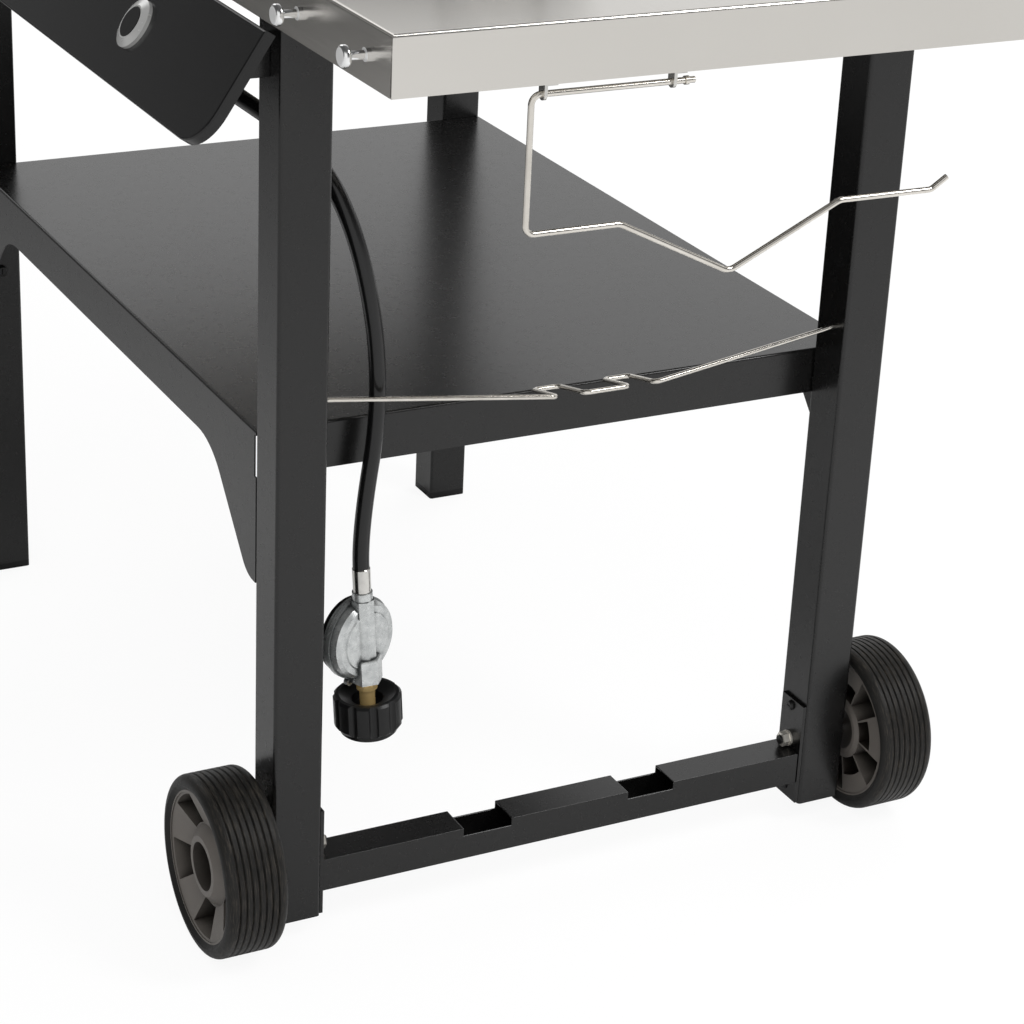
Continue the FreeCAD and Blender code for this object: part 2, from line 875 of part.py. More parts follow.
# Igniter: a low conical bezel on the panel, a barrel through it with a jam nut
# behind, and a nearly flush push button on a plunger that slides in the barrel.
def igniter():
    bezel = new_body("igniter_bezel")
    sketch = new_sketch(bezel, "XZ_Plane")
    bore = S.button_r + S.slip
    polygon(sketch, [(bore, 0), (S.bezel_r, 0), (S.bezel_r, S.bezel_side), (S.bezel_top_r, S.bezel_h),
                     (bore, S.bezel_h)])
    revolve(bezel, sketch)
    on_panel(bezel, S.control_x)

    button = new_body("igniter_button")
    sketch = new_sketch(button, "XZ_Plane")
    low = S.button_low
    top = low + S.button_h
    edge = S.button_edge
    polygon(sketch, [(0, low - S.plunger_len), (S.plunger_r, low - S.plunger_len), (S.plunger_r, low),
                     (S.button_r, low), (S.button_r, top - edge), (S.button_r - edge, top), (0, top)])
    revolve(button, sketch)
    on_panel(button, S.control_x)

    barrel = new_body("igniter_barrel")
    sketch = new_sketch(barrel, "XZ_Plane")
    bore = S.plunger_r + S.running
    deep = low - S.plunger_len - S.press - 2
    mouth = low - S.press - S.seat
    end = mouth - S.barrel_len
    polygon(sketch, [(0, end), (4.0, end), (4.0, end + 6.0), (S.barrel_r, end + 6.0), (S.barrel_r, mouth),
                     (bore, mouth), (bore, deep), (0, deep)])
    revolve(barrel, sketch)
    on_panel(barrel, S.control_x)

    nut = new_body("igniter_nut")
    sketch = new_sketch(nut, "XY_Plane", -S.sheet)
    hexagon(sketch, S.jam_nut)
    circle(sketch, 0, 0, S.barrel_r + S.slip / 2)
    pad(nut, sketch, S.jam_nut_h, True)
    on_panel(nut, S.control_x)
    return bezel, button, barrel, nut


keep(*igniter())


# Gas knob with a grip bar, its trim ring, and the valve behind the panel.
def gas_control():
    trim = new_body("knob_ring")
    sketch = new_sketch(trim, "XZ_Plane")
    bore = S.stem_r + 3
    polygon(sketch, [(bore, 0), (S.ring_r, 0), (S.ring_r, S.ring_t / 2), (S.ring_r - 1.2, S.ring_t), (bore, S.ring_t)])
    revolve(trim, sketch)
    on_panel(trim, -S.control_x)

    knob = new_body("knob")
    low = S.ring_t + S.knob_lift
    skirt = low + S.knob_skirt
    bore = S.stem_r + S.slip / 2
    deep = S.stem_out + S.slip
    sketch = new_sketch(knob, "XZ_Plane")
    polygon(sketch, [(bore, low), (S.knob_r, low), (S.knob_r, skirt - 2), (S.knob_r - 2, skirt),
                     (S.grip_w, skirt + 2), (S.grip_w - 1, S.knob_h - 1), (0, S.knob_h - 1), (0, deep), (bore, deep)])
    revolve(knob, sketch)
    bar = new_sketch(knob, "XY_Plane", deep + 1)
    half = S.grip_w / 2
    rectangle(bar, -half, half, -S.grip_half, S.grip_half)
    pad(knob, bar, S.knob_h - deep - 1)
    for side in (-1, 1):
        wing = new_sketch(knob, "XY_Plane", skirt - 1)
        rectangle(wing, -half, half, side * (bore + 2), side * S.grip_half)
        pad(knob, wing, deep + 2 - skirt)
    mark = new_sketch(knob, "XY_Plane", S.knob_h)
    rectangle(mark, -0.8, 0.8, S.grip_half - 14, S.grip_half - 2)
    pocket(knob, mark, 0.8)
    on_panel(knob, -S.control_x)

    stem = new_body("valve_stem")
    sketch = new_sketch(stem, "XY_Plane", -S.valve_deep)
    circle(sketch, 0, 0, S.stem_r)
    pad(stem, sketch, S.valve_deep + S.stem_out)
    on_panel(stem, -S.control_x)

    valve = new_body("valve_body")
    half = S.valve_w / 2
    back = S.valve_deep + S.valve_len / 2
    block = new_sketch(valve, "XY_Plane", -back)
    rectangle(block, -half, half, -half, half)
    pad(valve, block, S.valve_len)
    soften(valve, "Chamfer", 2.0, x=(-half, half), y=(-half, half))
    neck = new_sketch(valve, "XY_Plane", S.valve_len - back)
    circle(neck, 0, 0, S.valve_neck_r)
    pad(valve, neck, back - S.valve_len - S.sheet)
    hole = new_sketch(valve, "XY_Plane", -S.sheet)
    circle(hole, 0, 0, S.stem_r + S.running)
    pocket(valve, hole, S.valve_deep + 2 - S.sheet)
    on_panel(valve, -S.control_x)
    return trim, knob, stem, valve


keep(*gas_control())


def behind_panel(depth):
    """Y and Z of a line behind the middle of the panel's face."""
    return panel_y + depth * cosine(S.lean), panel_z - depth * sine(S.lean)


# Gas inlet of the valve: a hexagon fitting and the sleeved hose end on it.
inlet_y, inlet_z = behind_panel(S.valve_deep)
inlet_x = S.valve_w / 2 - S.control_x
hose_x = inlet_x + S.fitting_len + S.inlet_ferrule_len


def inlet():
    fitting = new_body("inlet_fitting")
    sketch = new_sketch(fitting, "YZ_Plane")
    circle(sketch, 0, 0, S.fitting_r)
    pad(fitting, sketch, S.fitting_len)
    flats = new_sketch(fitting, "YZ_Plane", S.fitting_len / 2)
    hexagon(flats, S.fitting_hex)
    pad(fitting, flats, S.fitting_len / 2)
    place(fitting, inlet_x, inlet_y, inlet_z)
    return fitting


def ferrule(label, length):
    """A smooth sleeve with chamfered ends, standing on its own Z axis."""
    body = new_body(label)
    r = S.ferrule_r
    edge = S.ferrule_edge
    sketch = new_sketch(body, "XZ_Plane")
    polygon(sketch, [(0, 0), (r - edge, 0), (r, edge), (r, length - edge), (r - edge, length), (0, length)])
    revolve(body, sketch)
    return body


keep(inlet())
inlet_ferrule = ferrule("inlet_ferrule", S.inlet_ferrule_len)
place(inlet_ferrule, inlet_x + S.fitting_len, inlet_y, inlet_z, (0, 1, 0), 90)
keep(inlet_ferrule)


# Gas hose: from the valve along the back of the panel, round behind the
# front right-hand leg and down to the regulator. Points are measured from
# the outer front corner of that leg, heights from the left-hand legs' feet.
HOSE = [
    (-440.0, -5.0, 689.0),
    (-300.0, 3.0, 683.0),
    (-169.6, 17.1, 673.5),
    (-48.1, 48.1, 651.6),
    (-21.0, 76.8, 580.8),
    (-21.0, 96.8, 461.1),
    (-21.0, 81.5, 312.4),
]
hose_points = [V(hose_x.value, inlet_y.value, inlet_z.value)]
hose_points += [V(half_x.value + x, front_y.value + y, S.glide_h.value + z) for x, y, z in HOSE]
hose_end = hose_points[-1]
tilt = math.radians(S.reg_tilt.value)
hose_points.insert(-1, hose_end + V(0, -math.sin(tilt), math.cos(tilt)) * S.hose_lead.value)
hose_bends = []
for i in range(1, len(hose_points) - 1):
    back = hose_points[i - 1] - hose_points[i]
    ahead = hose_points[i + 1] - hose_points[i]
    half_turn = (math.pi - back.getAngle(ahead)) / 2
    hose_bends.append(0.45 * min(back.Length, ahead.Length) / math.tan(half_turn))
keep(feature_of("gas_hose", rod(hose_points, S.hose_r.value, hose_bends)))
print("hose length %.1f" % route(hose_points, hose_bends).Length)
print("hose bends " + " ".join("%.0f" % b for b in hose_bends))


# Regulator: everything below hangs on the hose's end, leaning a little, and
# is built downwards from the ferrule.
def on_hose(obj, drop):
    y = hose_end.y + drop * sine(S.reg_tilt)
    z = hose_end.z - drop * cosine(S.reg_tilt)
    lean = FreeCAD.Rotation(V(1, 0, 0), S.reg_tilt.value)
    turn = lean * FreeCAD.Rotation(V(0, 0, 1), S.reg_turn.value)
    obj.Placement = FreeCAD.Placement(V(hose_end.x, y.value, z.value), turn)
    for name, value in (("y", y), ("z", z)):
        obj.setExpression("Placement.Base." + name, value.text)


hose_ferrule = ferrule("hose_ferrule", S.ferrule_len)
on_hose(hose_ferrule, S.ferrule_len)
keep(hose_ferrule)


def regulator_body():
    body = new_body("regulator_body")
    keel_top = -S.reg_neck_h
    keel_low = keel_top - S.reg_keel_h
    neck = new_sketch(body, "XY_Plane", keel_top)
    circle(neck, 0, 0, S.ferrule_r + S.reg_neck_step)
    pad(body, neck, S.reg_neck_h)
    keel = new_sketch(body, "XY_Plane", keel_low)
    a = S.reg_keel / 2
    b = a - S.reg_keel_cut
    polygon(keel, [(a, -b), (a, b), (b, a), (-b, a), (-a, b), (-a, -b), (-b, -a), (b, -a)])
    pad(body, keel, S.reg_keel_h)
    block = new_sketch(body, "XY_Plane", keel_low - S.reg_hex_h)
    hexagon(block, S.reg_hex)
    pad(body, block, S.reg_hex_h)
    soften(body, "Fillet", S.reg_hex_round, z=keel_low, least=S.reg_hex.value / 2)
    disc = new_sketch(body, "XZ_Plane", 0, -S.reg_disc_down)
    r = S.reg_disc_r
    back = -S.reg_disc_back
    face = back + S.reg_disc_t
    collar = back + S.reg_flange_t
    lip = collar + S.reg_flange_t
    polygon(disc, [(back, 0), (back, r), (collar, r), (collar, r + S.reg_flange),
                   (lip, r + S.reg_flange), (lip, r), (face - 4, r - 1), (face - 1, r - 4), (face - 1, r - 9),
                   (face, r - 10), (face, 0)])
    revolve(body, disc, "H_Axis")
    lug = new_sketch(body, "YZ_Plane", collar, -S.reg_disc_down)
    reach = r + S.reg_lug_r + S.reg_flange / 2
    for radius in (S.reg_lug_r, S.reg_lug_hole_r):
        circle(lug, -reach * 0.34, -reach * 0.94, radius)
    pad(body, lug, S.reg_flange_t)
    on_hose(body, S.ferrule_len)
    return body


def regulator_cap():
    cap = new_body("regulator_cap")
    sketch = new_sketch(cap, "XZ_Plane")
    h = S.reg_cap_h
    vent = h + S.reg_vent_h
    polygon(sketch, [(0, 0), (S.reg_cap_r, 0), (S.reg_cap_r, h * 0.6), (S.reg_cap_r - 4, h), (S.reg_vent_r, h),
                     (S.reg_vent_r, vent - 1), (S.reg_vent_r - 1, vent), (0, vent)])
    revolve(cap, sketch)
    on_hose(cap, S.ferrule_len)
    cap.setExpression("Placement.Base.y", None)
    cap.setExpression("Placement.Base.z", None)
    seat = V(-S.reg_disc_back.value, 0, -S.reg_disc_down.value)
    cap.Placement = cap.Placement * FreeCAD.Placement(seat, FreeCAD.Rotation(V(0, 1, 0), -90))
    return cap


# Brass nipple with a collar below the casting, and the black hand nut that
# turns on it and draws it into the cylinder's valve.
nipple_drop = S.ferrule_len + S.reg_neck_h + S.reg_keel_h + S.reg_hex_h


def regulator_nipple():
    nipple = new_body("regulator_nipple")
    sketch = new_sketch(nipple, "XZ_Plane")
    bore = S.nipple_bore_r
    low = -S.nipple_len
    flange = low + S.nipple_flange_t
    half = S.nipple_flange_t / 2
    collar = -S.nipple_collar_h
    polygon(sketch, [(bore, low), (S.nipple_flange_r - half, low), (S.nipple_flange_r, low + half),
                     (S.nipple_flange_r, flange), (S.nipple_r, flange), (S.nipple_r, collar),
                     (S.nipple_collar_r, collar), (S.nipple_collar_r, 0), (bore, 0)])
    revolve(nipple, sketch)
    on_hose(nipple, nipple_drop)
    return nipple


def regulator_nut():
    nut = new_body("regulator_nut")
    top = -S.nut_down
    low = top - S.nut_body
    end = low - S.nut_rim
    web_low = -S.nipple_len + S.nipple_flange_t + S.seat
    web_top = web_low + S.nut_web
    bore = S.nipple_r + S.running
    sketch = new_sketch(nut, "XZ_Plane")
    polygon(sketch, [(bore, web_low), (S.nut_socket_r, web_low), (S.nut_socket_r, end), (S.nut_rim_r - 1, end),
                     (S.nut_rim_r, end + 1), (S.nut_rim_r, low), (S.nut_r - 2, low), (S.nut_r, low + 3),
                     (S.nut_r, top - 2), (S.nut_r - 2, top), (S.nut_r - S.nut_lip, top),
                     (S.nut_recess_r, top - S.nut_dish), (S.nut_recess_r, web_top), (bore, web_top)])
    revolve(nut, sketch)
    flute = new_sketch(nut, "XY_Plane", top)
    circle(flute, S.nut_r + S.flute_r * 0.45, 0, S.flute_r)
    cut = pocket(nut, flute, S.nut_body)
    around(nut, cut, 10)
    on_hose(nut, nipple_drop)
    return nut


keep(regulator_body(), regulator_cap(), regulator_nipple(), regulator_nut())


# Burner bowl: a conical tray under the opening, with a hole for the mixer
# pipe and air vents in its floor.
def burner_bowl():
    body = new_body("burner_bowl")
    t = S.bowl_t
    low = -S.bowl_deep
    hole = S.mixer_r + S.seat
    sketch = new_sketch(body, "XZ_Plane")
    polygon(sketch, [(S.opening_r, 0), (S.opening_r + S.bowl_flange, 0), (S.opening_r + S.bowl_flange, -t),
                     (S.opening_r + t, -t), (S.bowl_low_r + t, low), (hole, low), (hole, low + t),
                     (S.bowl_low_r, low + t)])
    revolve(body, sketch)
    vents = new_sketch(body, "XY_Plane", low + t)
    circle(vents, S.bowl_low_r * 0.86, 0, S.vent_r)
    cut = pocket(body, vents, t)
    around(body, cut, 8)
    place(body, 0, 0, under_top)
    return body


keep(burner_bowl())


# Cast burner head on three feet, with two rings of flame ports.
def burner():
    body = new_body("burner")
    top = S.foot_h + S.burner_h
    r = S.burner_r
    socket = S.mixer_r + S.slip / 2
    sketch = new_sketch(body, "XZ_Plane")
    low = S.foot_h
    polygon(sketch, [(socket, low - 8), (socket + 6, low - 8), (socket + 6, low), (r - 15, low), (r, low + 10),
                     (r, top - 4), (r - 7, top), (0, top), (0, low + 4), (socket, low + 4)])
    revolve(body, sketch)
    feet = new_sketch(body, "XY_Plane")
    circle(feet, r - S.foot_in, 0, S.foot_r)
    stand = pad(body, feet, low + 4)
    around(body, stand, 3)
    for share, count in ((0.82, 18), (0.5, 10)):
        ports = new_sketch(body, "XY_Plane", top)
        circle(ports, r * share, 0, S.port_r)
        cut = pocket(body, ports, 8.0)
        around(body, cut, count)
    place(body, 0, 0, floor_z)
    return body


floor_z = under_top - S.bowl_deep + S.bowl_t
keep(burner())


# Mixer pipe: down from the burner and out to the left, where the feed tube
# of the valve ends in its mouth.
def gas_feed():
    head = floor_z + S.foot_h + 4
    low = head - S.mixer_drop
    points = [V(0, 0, head.value), V(0, 0, low.value), V(-S.mixer_reach.value, 0, low.value)]
    bar = rod(points, S.mixer_r.value, S.mixer_r.value * 1.6)
    socket = Part.makeCylinder(S.feed_r.value + S.slip.value / 2, S.feed_grip.value + 2, points[2], V(1, 0, 0))
    elbow = feature_of("mixer_elbow", bar.cut(socket))

    start_y, start_z = behind_panel(S.valve_deep + S.valve_len / 2)
    lead_y, lead_z = behind_panel(S.valve_deep + S.valve_len / 2 + S.feed_lead)
    stop = points[2] + V(S.feed_grip.value, 0, 0)
    feed = [V(-S.control_x.value, start_y.value, start_z.value), V(-S.control_x.value, lead_y.value, lead_z.value),
            V(-S.control_x.value, 0, low.value), stop]
    tube = feature_of("feed_tube", rod(feed, S.feed_r.value, S.feed_bend.value))
    return elbow, tube


keep(*gas_feed())


# Spark electrode on the bowl's floor beside the burner.
def electrode():
    body = new_body("electrode")
    h = S.foot_h + S.burner_h
    sketch = new_sketch(body, "XZ_Plane")
    polygon(sketch, [(0, 0), (7.0, 0), (7.0, 4.0), (4.0, 4.0), (4.0, h * 0.72), (1.2, h * 0.72), (1.2, h), (0, h)])
    revolve(body, sketch)
    place(body, 0, -(S.burner_r + 12), floor_z)
    return body


keep(electrode())


# Wok ring: a base flange, an upright wall with air slots and an inward lip.
def wok_ring():
    body = new_body("wok_ring")
    t = S.ring_wall
    base = S.ring_base
    knee = S.ring_h - S.ring_lean
    sketch = new_sketch(body, "XZ_Plane")
    polygon(sketch, [(S.ring_in_r, 0), (S.ring_out_r, 0), (S.ring_out_r, base), (S.ring_wall_r, base),
                     (S.ring_wall_r, knee), (S.ring_lip_r + t, S.ring_h), (S.ring_lip_r, S.ring_h - t / 2),
                     (S.ring_wall_r - t, knee - t / 2), (S.ring_wall_r - t, base), (S.ring_in_r, base)])
    revolve(body, sketch)
    slot = new_sketch(body, "YZ_Plane", S.ring_out_r)
    rectangle(slot, -S.air_slot / 2, S.air_slot / 2, base + 6, knee - 8)
    cut = pocket(body, slot, S.ring_out_r - S.ring_lip_r)
    around(body, cut, 8)
    place(body, 0, 0, S.table_h)
    return body


keep(wok_ring())


# Wok: a spherical pan with a rolled rim, resting on the ring's lip, and two
# loop handles.
def wok():
    lip_z = S.table_h + S.ring_h - S.ring_wall / 2 + S.wok_gap
    centre = lip_z + root(S.wok_r * S.wok_r - S.ring_lip_r * S.ring_lip_r)
    inner_r = S.wok_r - S.wok_wall
    rim_drop = root(S.wok_r * S.wok_r - S.wok_rim * S.wok_rim)
    rim_z = centre - rim_drop
    ball = doc.addObject("Part::Sphere", "wok_outside")
    bind(ball, "Radius", S.wok_r)
    place(ball, 0, 0, centre)
    hollow = doc.addObject("Part::Sphere", "wok_inside")
    bind(hollow, "Radius", inner_r)
    place(hollow, 0, 0, centre)
    shell = doc.addObject("Part::Cut", "wok_shell")
    shell.Base = ball
    shell.Tool = hollow
    keep_low = doc.addObject("Part::Cylinder", "wok_keep")
    bind(keep_low, "Radius", S.wok_r + 5)
    bind(keep_low, "Height", S.wok_r)
    place(keep_low, 0, 0, rim_z - S.wok_r)
    pan = doc.addObject("Part::Common", "wok_pan")
    pan.Base = shell
    pan.Tool = keep_low
    rim = doc.addObject("Part::Torus", "wok_bead")
    bind(rim, "Radius1", S.wok_rim + 1)
    bind(rim, "Radius2", S.wok_wall * 1.5)
    place(rim, 0, 0, rim_z)
    whole = doc.addObject("Part::Fuse", "wok")
    whole.Label = "wok"
    whole.Base = pan
    whole.Tool = rim

    loops = []
    reach = S.wok_rim.value + S.handle_out.value
    side = S.handle_half.value
    top = rim_z.value + S.handle_rise.value
    low = rim_z.value - S.handle_drop.value
    root_r = math.sqrt(S.wok_rim.value ** 2 - side ** 2) - S.handle_rise.value
    for way in (-1, 1):
        points = [V(way * root_r, -side, low), V(way * reach, -side, top),
                  V(way * reach, side, top), V(way * root_r, side, low)]
        loops.append(rod(points, S.handle_r.value, S.handle_bend.value))
    wide = Part.makeSphere(S.wok_r.value, V(0, 0, centre.value))
    bead = Part.makeTorus(S.wok_rim.value + 1, S.wok_wall.value * 1.5, V(0, 0, rim_z.value))
    ears = [loop.cut(wide).cut(bead) for loop in loops]
    handles = feature_of("wok_handles", Part.makeCompound([max(e.Solids, key=lambda s: s.Volume) for e in ears]))
    return whole, handles


keep(*wok())


# Lower shelf: folded sheet between the legs. Its front and rear aprons run
# out into curved tongues beside the legs, each with a bolted cheek.
def lower_shelf():
    body = new_body("lower_shelf")
    a = inner_x
    t = S.sheet
    channel = new_sketch(body, "XZ_Plane", half_y)
    drop = -S.shelf_end
    polygon(channel, [(-a, drop), (-a, 0), (a, 0), (a, drop), (a - t, drop), (a - t, -t), (t - a, -t), (t - a, drop)])
    pad(body, channel, half_y * 2, True)
    foot = a - S.tongue_foot
    rise = a - S.tongue_run
    for lift in (half_y, t - half_y):
        apron = new_sketch(body, "XZ_Plane", lift)
        polygon(apron, [(-a, 0), (a, 0), (a, -S.tongue_drop), (foot, -S.tongue_drop), (rise, -S.shelf_drop),
                        (-rise, -S.shelf_drop), (-foot, -S.tongue_drop), (-a, -S.tongue_drop)])
        pad(body, apron, t, True)
    soften(body, "Fillet", S.tongue_out_r, x=(-foot, foot), z=-S.tongue_drop)
    soften(body, "Fillet", S.tongue_in_r, x=(-rise, rise), z=-S.shelf_drop)
    cheek = new_sketch(body, "YZ_Plane", -a)
    for side in (-1, 1):
        rectangle(cheek, side * half_y, side * (half_y - S.cheek_w), -S.slot_low, -S.cheek_low)
    pad(body, cheek, t)
    cheek = new_sketch(body, "YZ_Plane", a - t)
    for side in (-1, 1):
        rectangle(cheek, side * half_y, side * (half_y - S.cheek_w), -S.slot_low, -S.cheek_low)
    pad(body, cheek, t)
    soften(body, "Fillet", S.fold_r, z=0)
    slots = new_sketch(body, "XZ_Plane", half_y)
    for side in (-1, 1):
        rectangle(slots, side * (a - S.slot_w), side * (a + 1), -S.slot_low, -S.slot_top)
    pocket(body, slots, S.slot_w)
    slots = new_sketch(body, "XZ_Plane", -half_y)
    for side in (-1, 1):
        rectangle(slots, side * (a - S.slot_w), side * (a + 1), -S.slot_low, -S.slot_top)
    pocket(body, slots, S.slot_w, True)
    bolts = new_sketch(body, "YZ_Plane", a)
    for side in (-1, 1):
        circle(bolts, side * (half_y - S.bolt_in), -S.bolt_down, S.bolt_r + S.slip)
    pocket(body, bolts, a * 2)
    place(body, 0, mid_y, S.shelf_z)
    return body


keep(lower_shelf())


def pan_screw(label, shank_r, shank, head_r, head_h):
    """A low domed screw standing on its own Z axis, head upwards."""
    body = new_body(label)
    sketch = new_sketch(body, "XZ_Plane")
    polygon(sketch, [(0, -shank), (shank_r, -shank), (shank_r, 0), (head_r, 0), (head_r, head_h * 0.4),
                     (head_r * 0.7, head_h), (0, head_h)])
    revolve(body, sketch)
    slot = new_sketch(body, "XY_Plane", head_h)
    rectangle(slot, -head_r * 0.5, head_r * 0.5, -0.5, 0.5)
    pocket(body, slot, head_h * 0.5)
    return body


def four_of(label, screw):
    right = [screw, mirror_of(screw, (0, 1, 0), mid_y)]
    left = [mirror_of(item, (1, 0, 0)) for item in right]
    return group(label, right + left)


shelf_bolt = pan_screw("shelf_bolt", S.bolt_r, S.sheet + S.leg_wall + S.bolt_end, S.bolt_head_r, S.bolt_head_h)
place(shelf_bolt, inner_x - S.sheet, front_y + S.bolt_in, S.shelf_z - S.bolt_down, (0, 1, 0), -90)
keep(four_of("shelf_bolts", shelf_bolt))


# Cross bar for the gas cylinder: a notched tube between end plates that are
# screwed to the inner faces of the right-hand legs.
bar_x = half_x - S.bar_in - S.bar_w / 2
bar_half = inner_y - S.plate_t


def cross_bar():
    body = new_body("cross_bar")
    square_tube(body, "XZ_Plane", bar_half, 0 * S.bar_w, 0 * S.bar_w, S.bar_w / 2, S.bar_h / 2,
                S.bar_wall, bar_half * 2, True)
    notch = new_sketch(body, "YZ_Plane", S.bar_w)
    for side in (-1, 1):
        at = side * S.notch_pitch / 2
        rectangle(notch, at - S.notch_len / 2, at + S.notch_len / 2, S.bar_h / 2 - S.notch_deep, S.bar_h)
    pocket(body, notch, S.bar_w * 2)
    place(body, bar_x, mid_y, S.bar_top - S.bar_h / 2)
    return body


def end_plates():
    plate = new_body("bar_end_plate")
    sketch = new_sketch(plate, "XZ_Plane")
    rectangle(sketch, -S.plate_w / 2, S.plate_w / 2, S.plate_low, S.plate_high)
    shift = axle_x - bar_x
    for z in (S.screw_low, S.screw_high):
        circle(sketch, shift, z, S.screw_r + S.slip)
    circle(sketch, shift, axle_z, S.axle_r + S.slip)
    pad(plate, sketch, S.plate_t, True)
    place(plate, bar_x, mid_y - inner_y, 0)
    return group("bar_end_plates", [plate, mirror_of(plate, (0, 1, 0), mid_y)])


keep(cross_bar(), end_plates())

screws = []
for n, height in enumerate((S.screw_low, S.screw_high)):
    screw = pan_screw("bar_screw_%d" % n, S.screw_r, S.plate_t + S.leg_wall + S.screw_end, S.screw_head_r, S.screw_head_h)
    place(screw, axle_x, mid_y - bar_half, height, (1, 0, 0), -90)
    screws += [screw, mirror_of(screw, (0, 1, 0), mid_y)]
keep(group("bar_screws", screws))


# Wheels: a grooved rubber tyre on a moulded hub with five broad spokes, on a
# bolt through the leg. Each is drawn about its own Z axis, pointing outwards.
wheel_out = half_y + S.wheel_gap + S.wheel_w / 2


def on_axle(obj, side):
    place(obj, axle_x, mid_y + side * wheel_out, axle_z, (1, 0, 0), -90 * side)


def tyre(label, side):
    body = new_body(label)
    half = S.wheel_w / 2
    r = S.wheel_r
    bead = half - S.rim_side
    points = [(S.rim_r, -bead), (S.rim_r + S.bead, -half), (r, -half)]
    for n in range(-3, 4):
        at = n * S.groove_pitch
        points += [(r, at - S.groove_w / 2), (r - S.groove_deep, at), (r, at + S.groove_w / 2)]
    points += [(r, half), (S.rim_r + S.bead, half), (S.rim_r, bead)]
    sketch = new_sketch(body, "XZ_Plane")
    polygon(sketch, points)
    revolve(body, sketch)
    doc.recompute()
    names = ring_edges(body.Tip.Shape, r, (-half, half))
    soften(body, "Fillet", S.shoulder_r, names=names)
    on_axle(body, side)
    return body


def hub(label, side):
    body = new_body(label)
    rim = S.rim_r - S.slip / 2
    bead = S.wheel_w / 2 - S.rim_side
    edge = rim - S.rim_lip
    face = bead - S.rim_step
    bore = S.axle_r + S.running
    out = S.boss_out
    far = S.wheel_w
    sketch = new_sketch(body, "XZ_Plane")
    polygon(sketch, [(bore, -S.boss_in), (S.boss_in_r, -S.boss_in), (S.back_in_r - 1, -face), (edge, -face),
                     (edge, -bead), (rim, -bead), (rim, bead), (edge, bead), (edge, face), (S.boss_r, S.dish),
                     (S.boss_top_r, out), (S.boss_hole_r, out), (S.boss_hole_r, out - S.boss_hole),
                     (bore, out - S.boss_hole)])
    revolve(body, sketch)
    # Five deep cells open outwards between the dished spokes.
    floor = S.web_skin - face
    step = S.web_skin - S.ledge
    wall = S.ledge_r + S.web_skin
    cell = new_sketch(body, "XZ_Plane", turn=S.cell_at)
    polygon(cell, [(S.cell_in_r, far), (S.cell_out_r, far), (S.cell_out_r, floor), (wall, floor), (wall, step),
                   (S.cell_in_r, step)])
    around(body, groove(body, cell, S.cell_turn), 5)
    # Their backs have a ledge at the rim and a recess next to the boss.
    cell = new_sketch(body, "XZ_Plane", turn=S.cell_at)
    polygon(cell, [(S.back_in_r, -far), (S.ledge_r, -far), (S.ledge_r, -S.ledge), (S.back_in_r, -S.ledge)])
    around(body, groove(body, cell, S.cell_turn), 5)
    # Five wedges open inwards behind the spokes.
    rise = (face - S.dish) / (edge - S.boss_r)
    low = S.dish - S.web_skin
    high = low + (S.cell_out_r - S.boss_r) * rise
    cell = new_sketch(body, "XZ_Plane", turn=S.cell_at + 36)
    polygon(cell, [(S.back_in_r, -far), (S.cell_out_r, -far), (S.cell_out_r, high), (S.boss_r, low),
                   (S.back_in_r, low)])
    around(body, groove(body, cell, S.wedge_turn), 5)
    on_axle(body, side)
    return body


for end, side in (("front", -1), ("rear", 1)):
    keep(tyre("tyre_" + end, side))
    keep(hub("hub_" + end, side))


def axle_bolt():
    body = new_body("axle_bolt")
    head = S.boss_out - S.boss_hole + S.seat
    deep = S.wheel_w / 2 + S.wheel_gap + S.leg_w + S.plate_t + S.nut_h + 2
    shank = new_sketch(body, "XY_Plane", -deep)
    circle(shank, 0, 0, S.axle_r)
    pad(body, shank, deep + head)
    washer = new_sketch(body, "XY_Plane", head)
    circle(washer, 0, 0, S.washer_r)
    pad(body, washer, S.washer_t)
    top = new_sketch(body, "XY_Plane", head + S.washer_t)
    hexagon(top, S.axle_head)
    pad(body, top, S.axle_head_h)
    on_axle(body, -1)
    return group("axle_bolts", [body, mirror_of(body, (0, 1, 0), mid_y)])


def axle_nut():
    body = new_body("axle_nut")
    bore = S.axle_r + S.slip / 2
    flange = new_sketch(body, "XY_Plane")
    circle(flange, 0, 0, S.nut_flange_r)
    circle(flange, 0, 0, bore)
    pad(body, flange, S.nut_flange_t)
    flats = new_sketch(body, "XY_Plane")
    hexagon(flats, S.axle_nut)
    circle(flats, 0, 0, bore)
    pad(body, flats, S.nut_h)
    place(body, axle_x, mid_y - bar_half, axle_z, (1, 0, 0), -90)
    return group("axle_nuts", [body, mirror_of(body, (0, 1, 0), mid_y)])


def axle_spacer():
    body = new_body("axle_spacer")
    sketch = new_sketch(body, "XY_Plane")
    circle(sketch, 0, 0, S.spacer_r)
    circle(sketch, 0, 0, S.axle_r + S.slip)
    pad(body, sketch, S.wheel_gap + S.wheel_w / 2 - S.boss_in - S.seat)
    place(body, axle_x, front_y, axle_z, (1, 0, 0), 90)
    return group("axle_spacers", [body, mirror_of(body, (0, 1, 0), mid_y)])


keep(axle_bolt(), axle_nut(), axle_spacer())


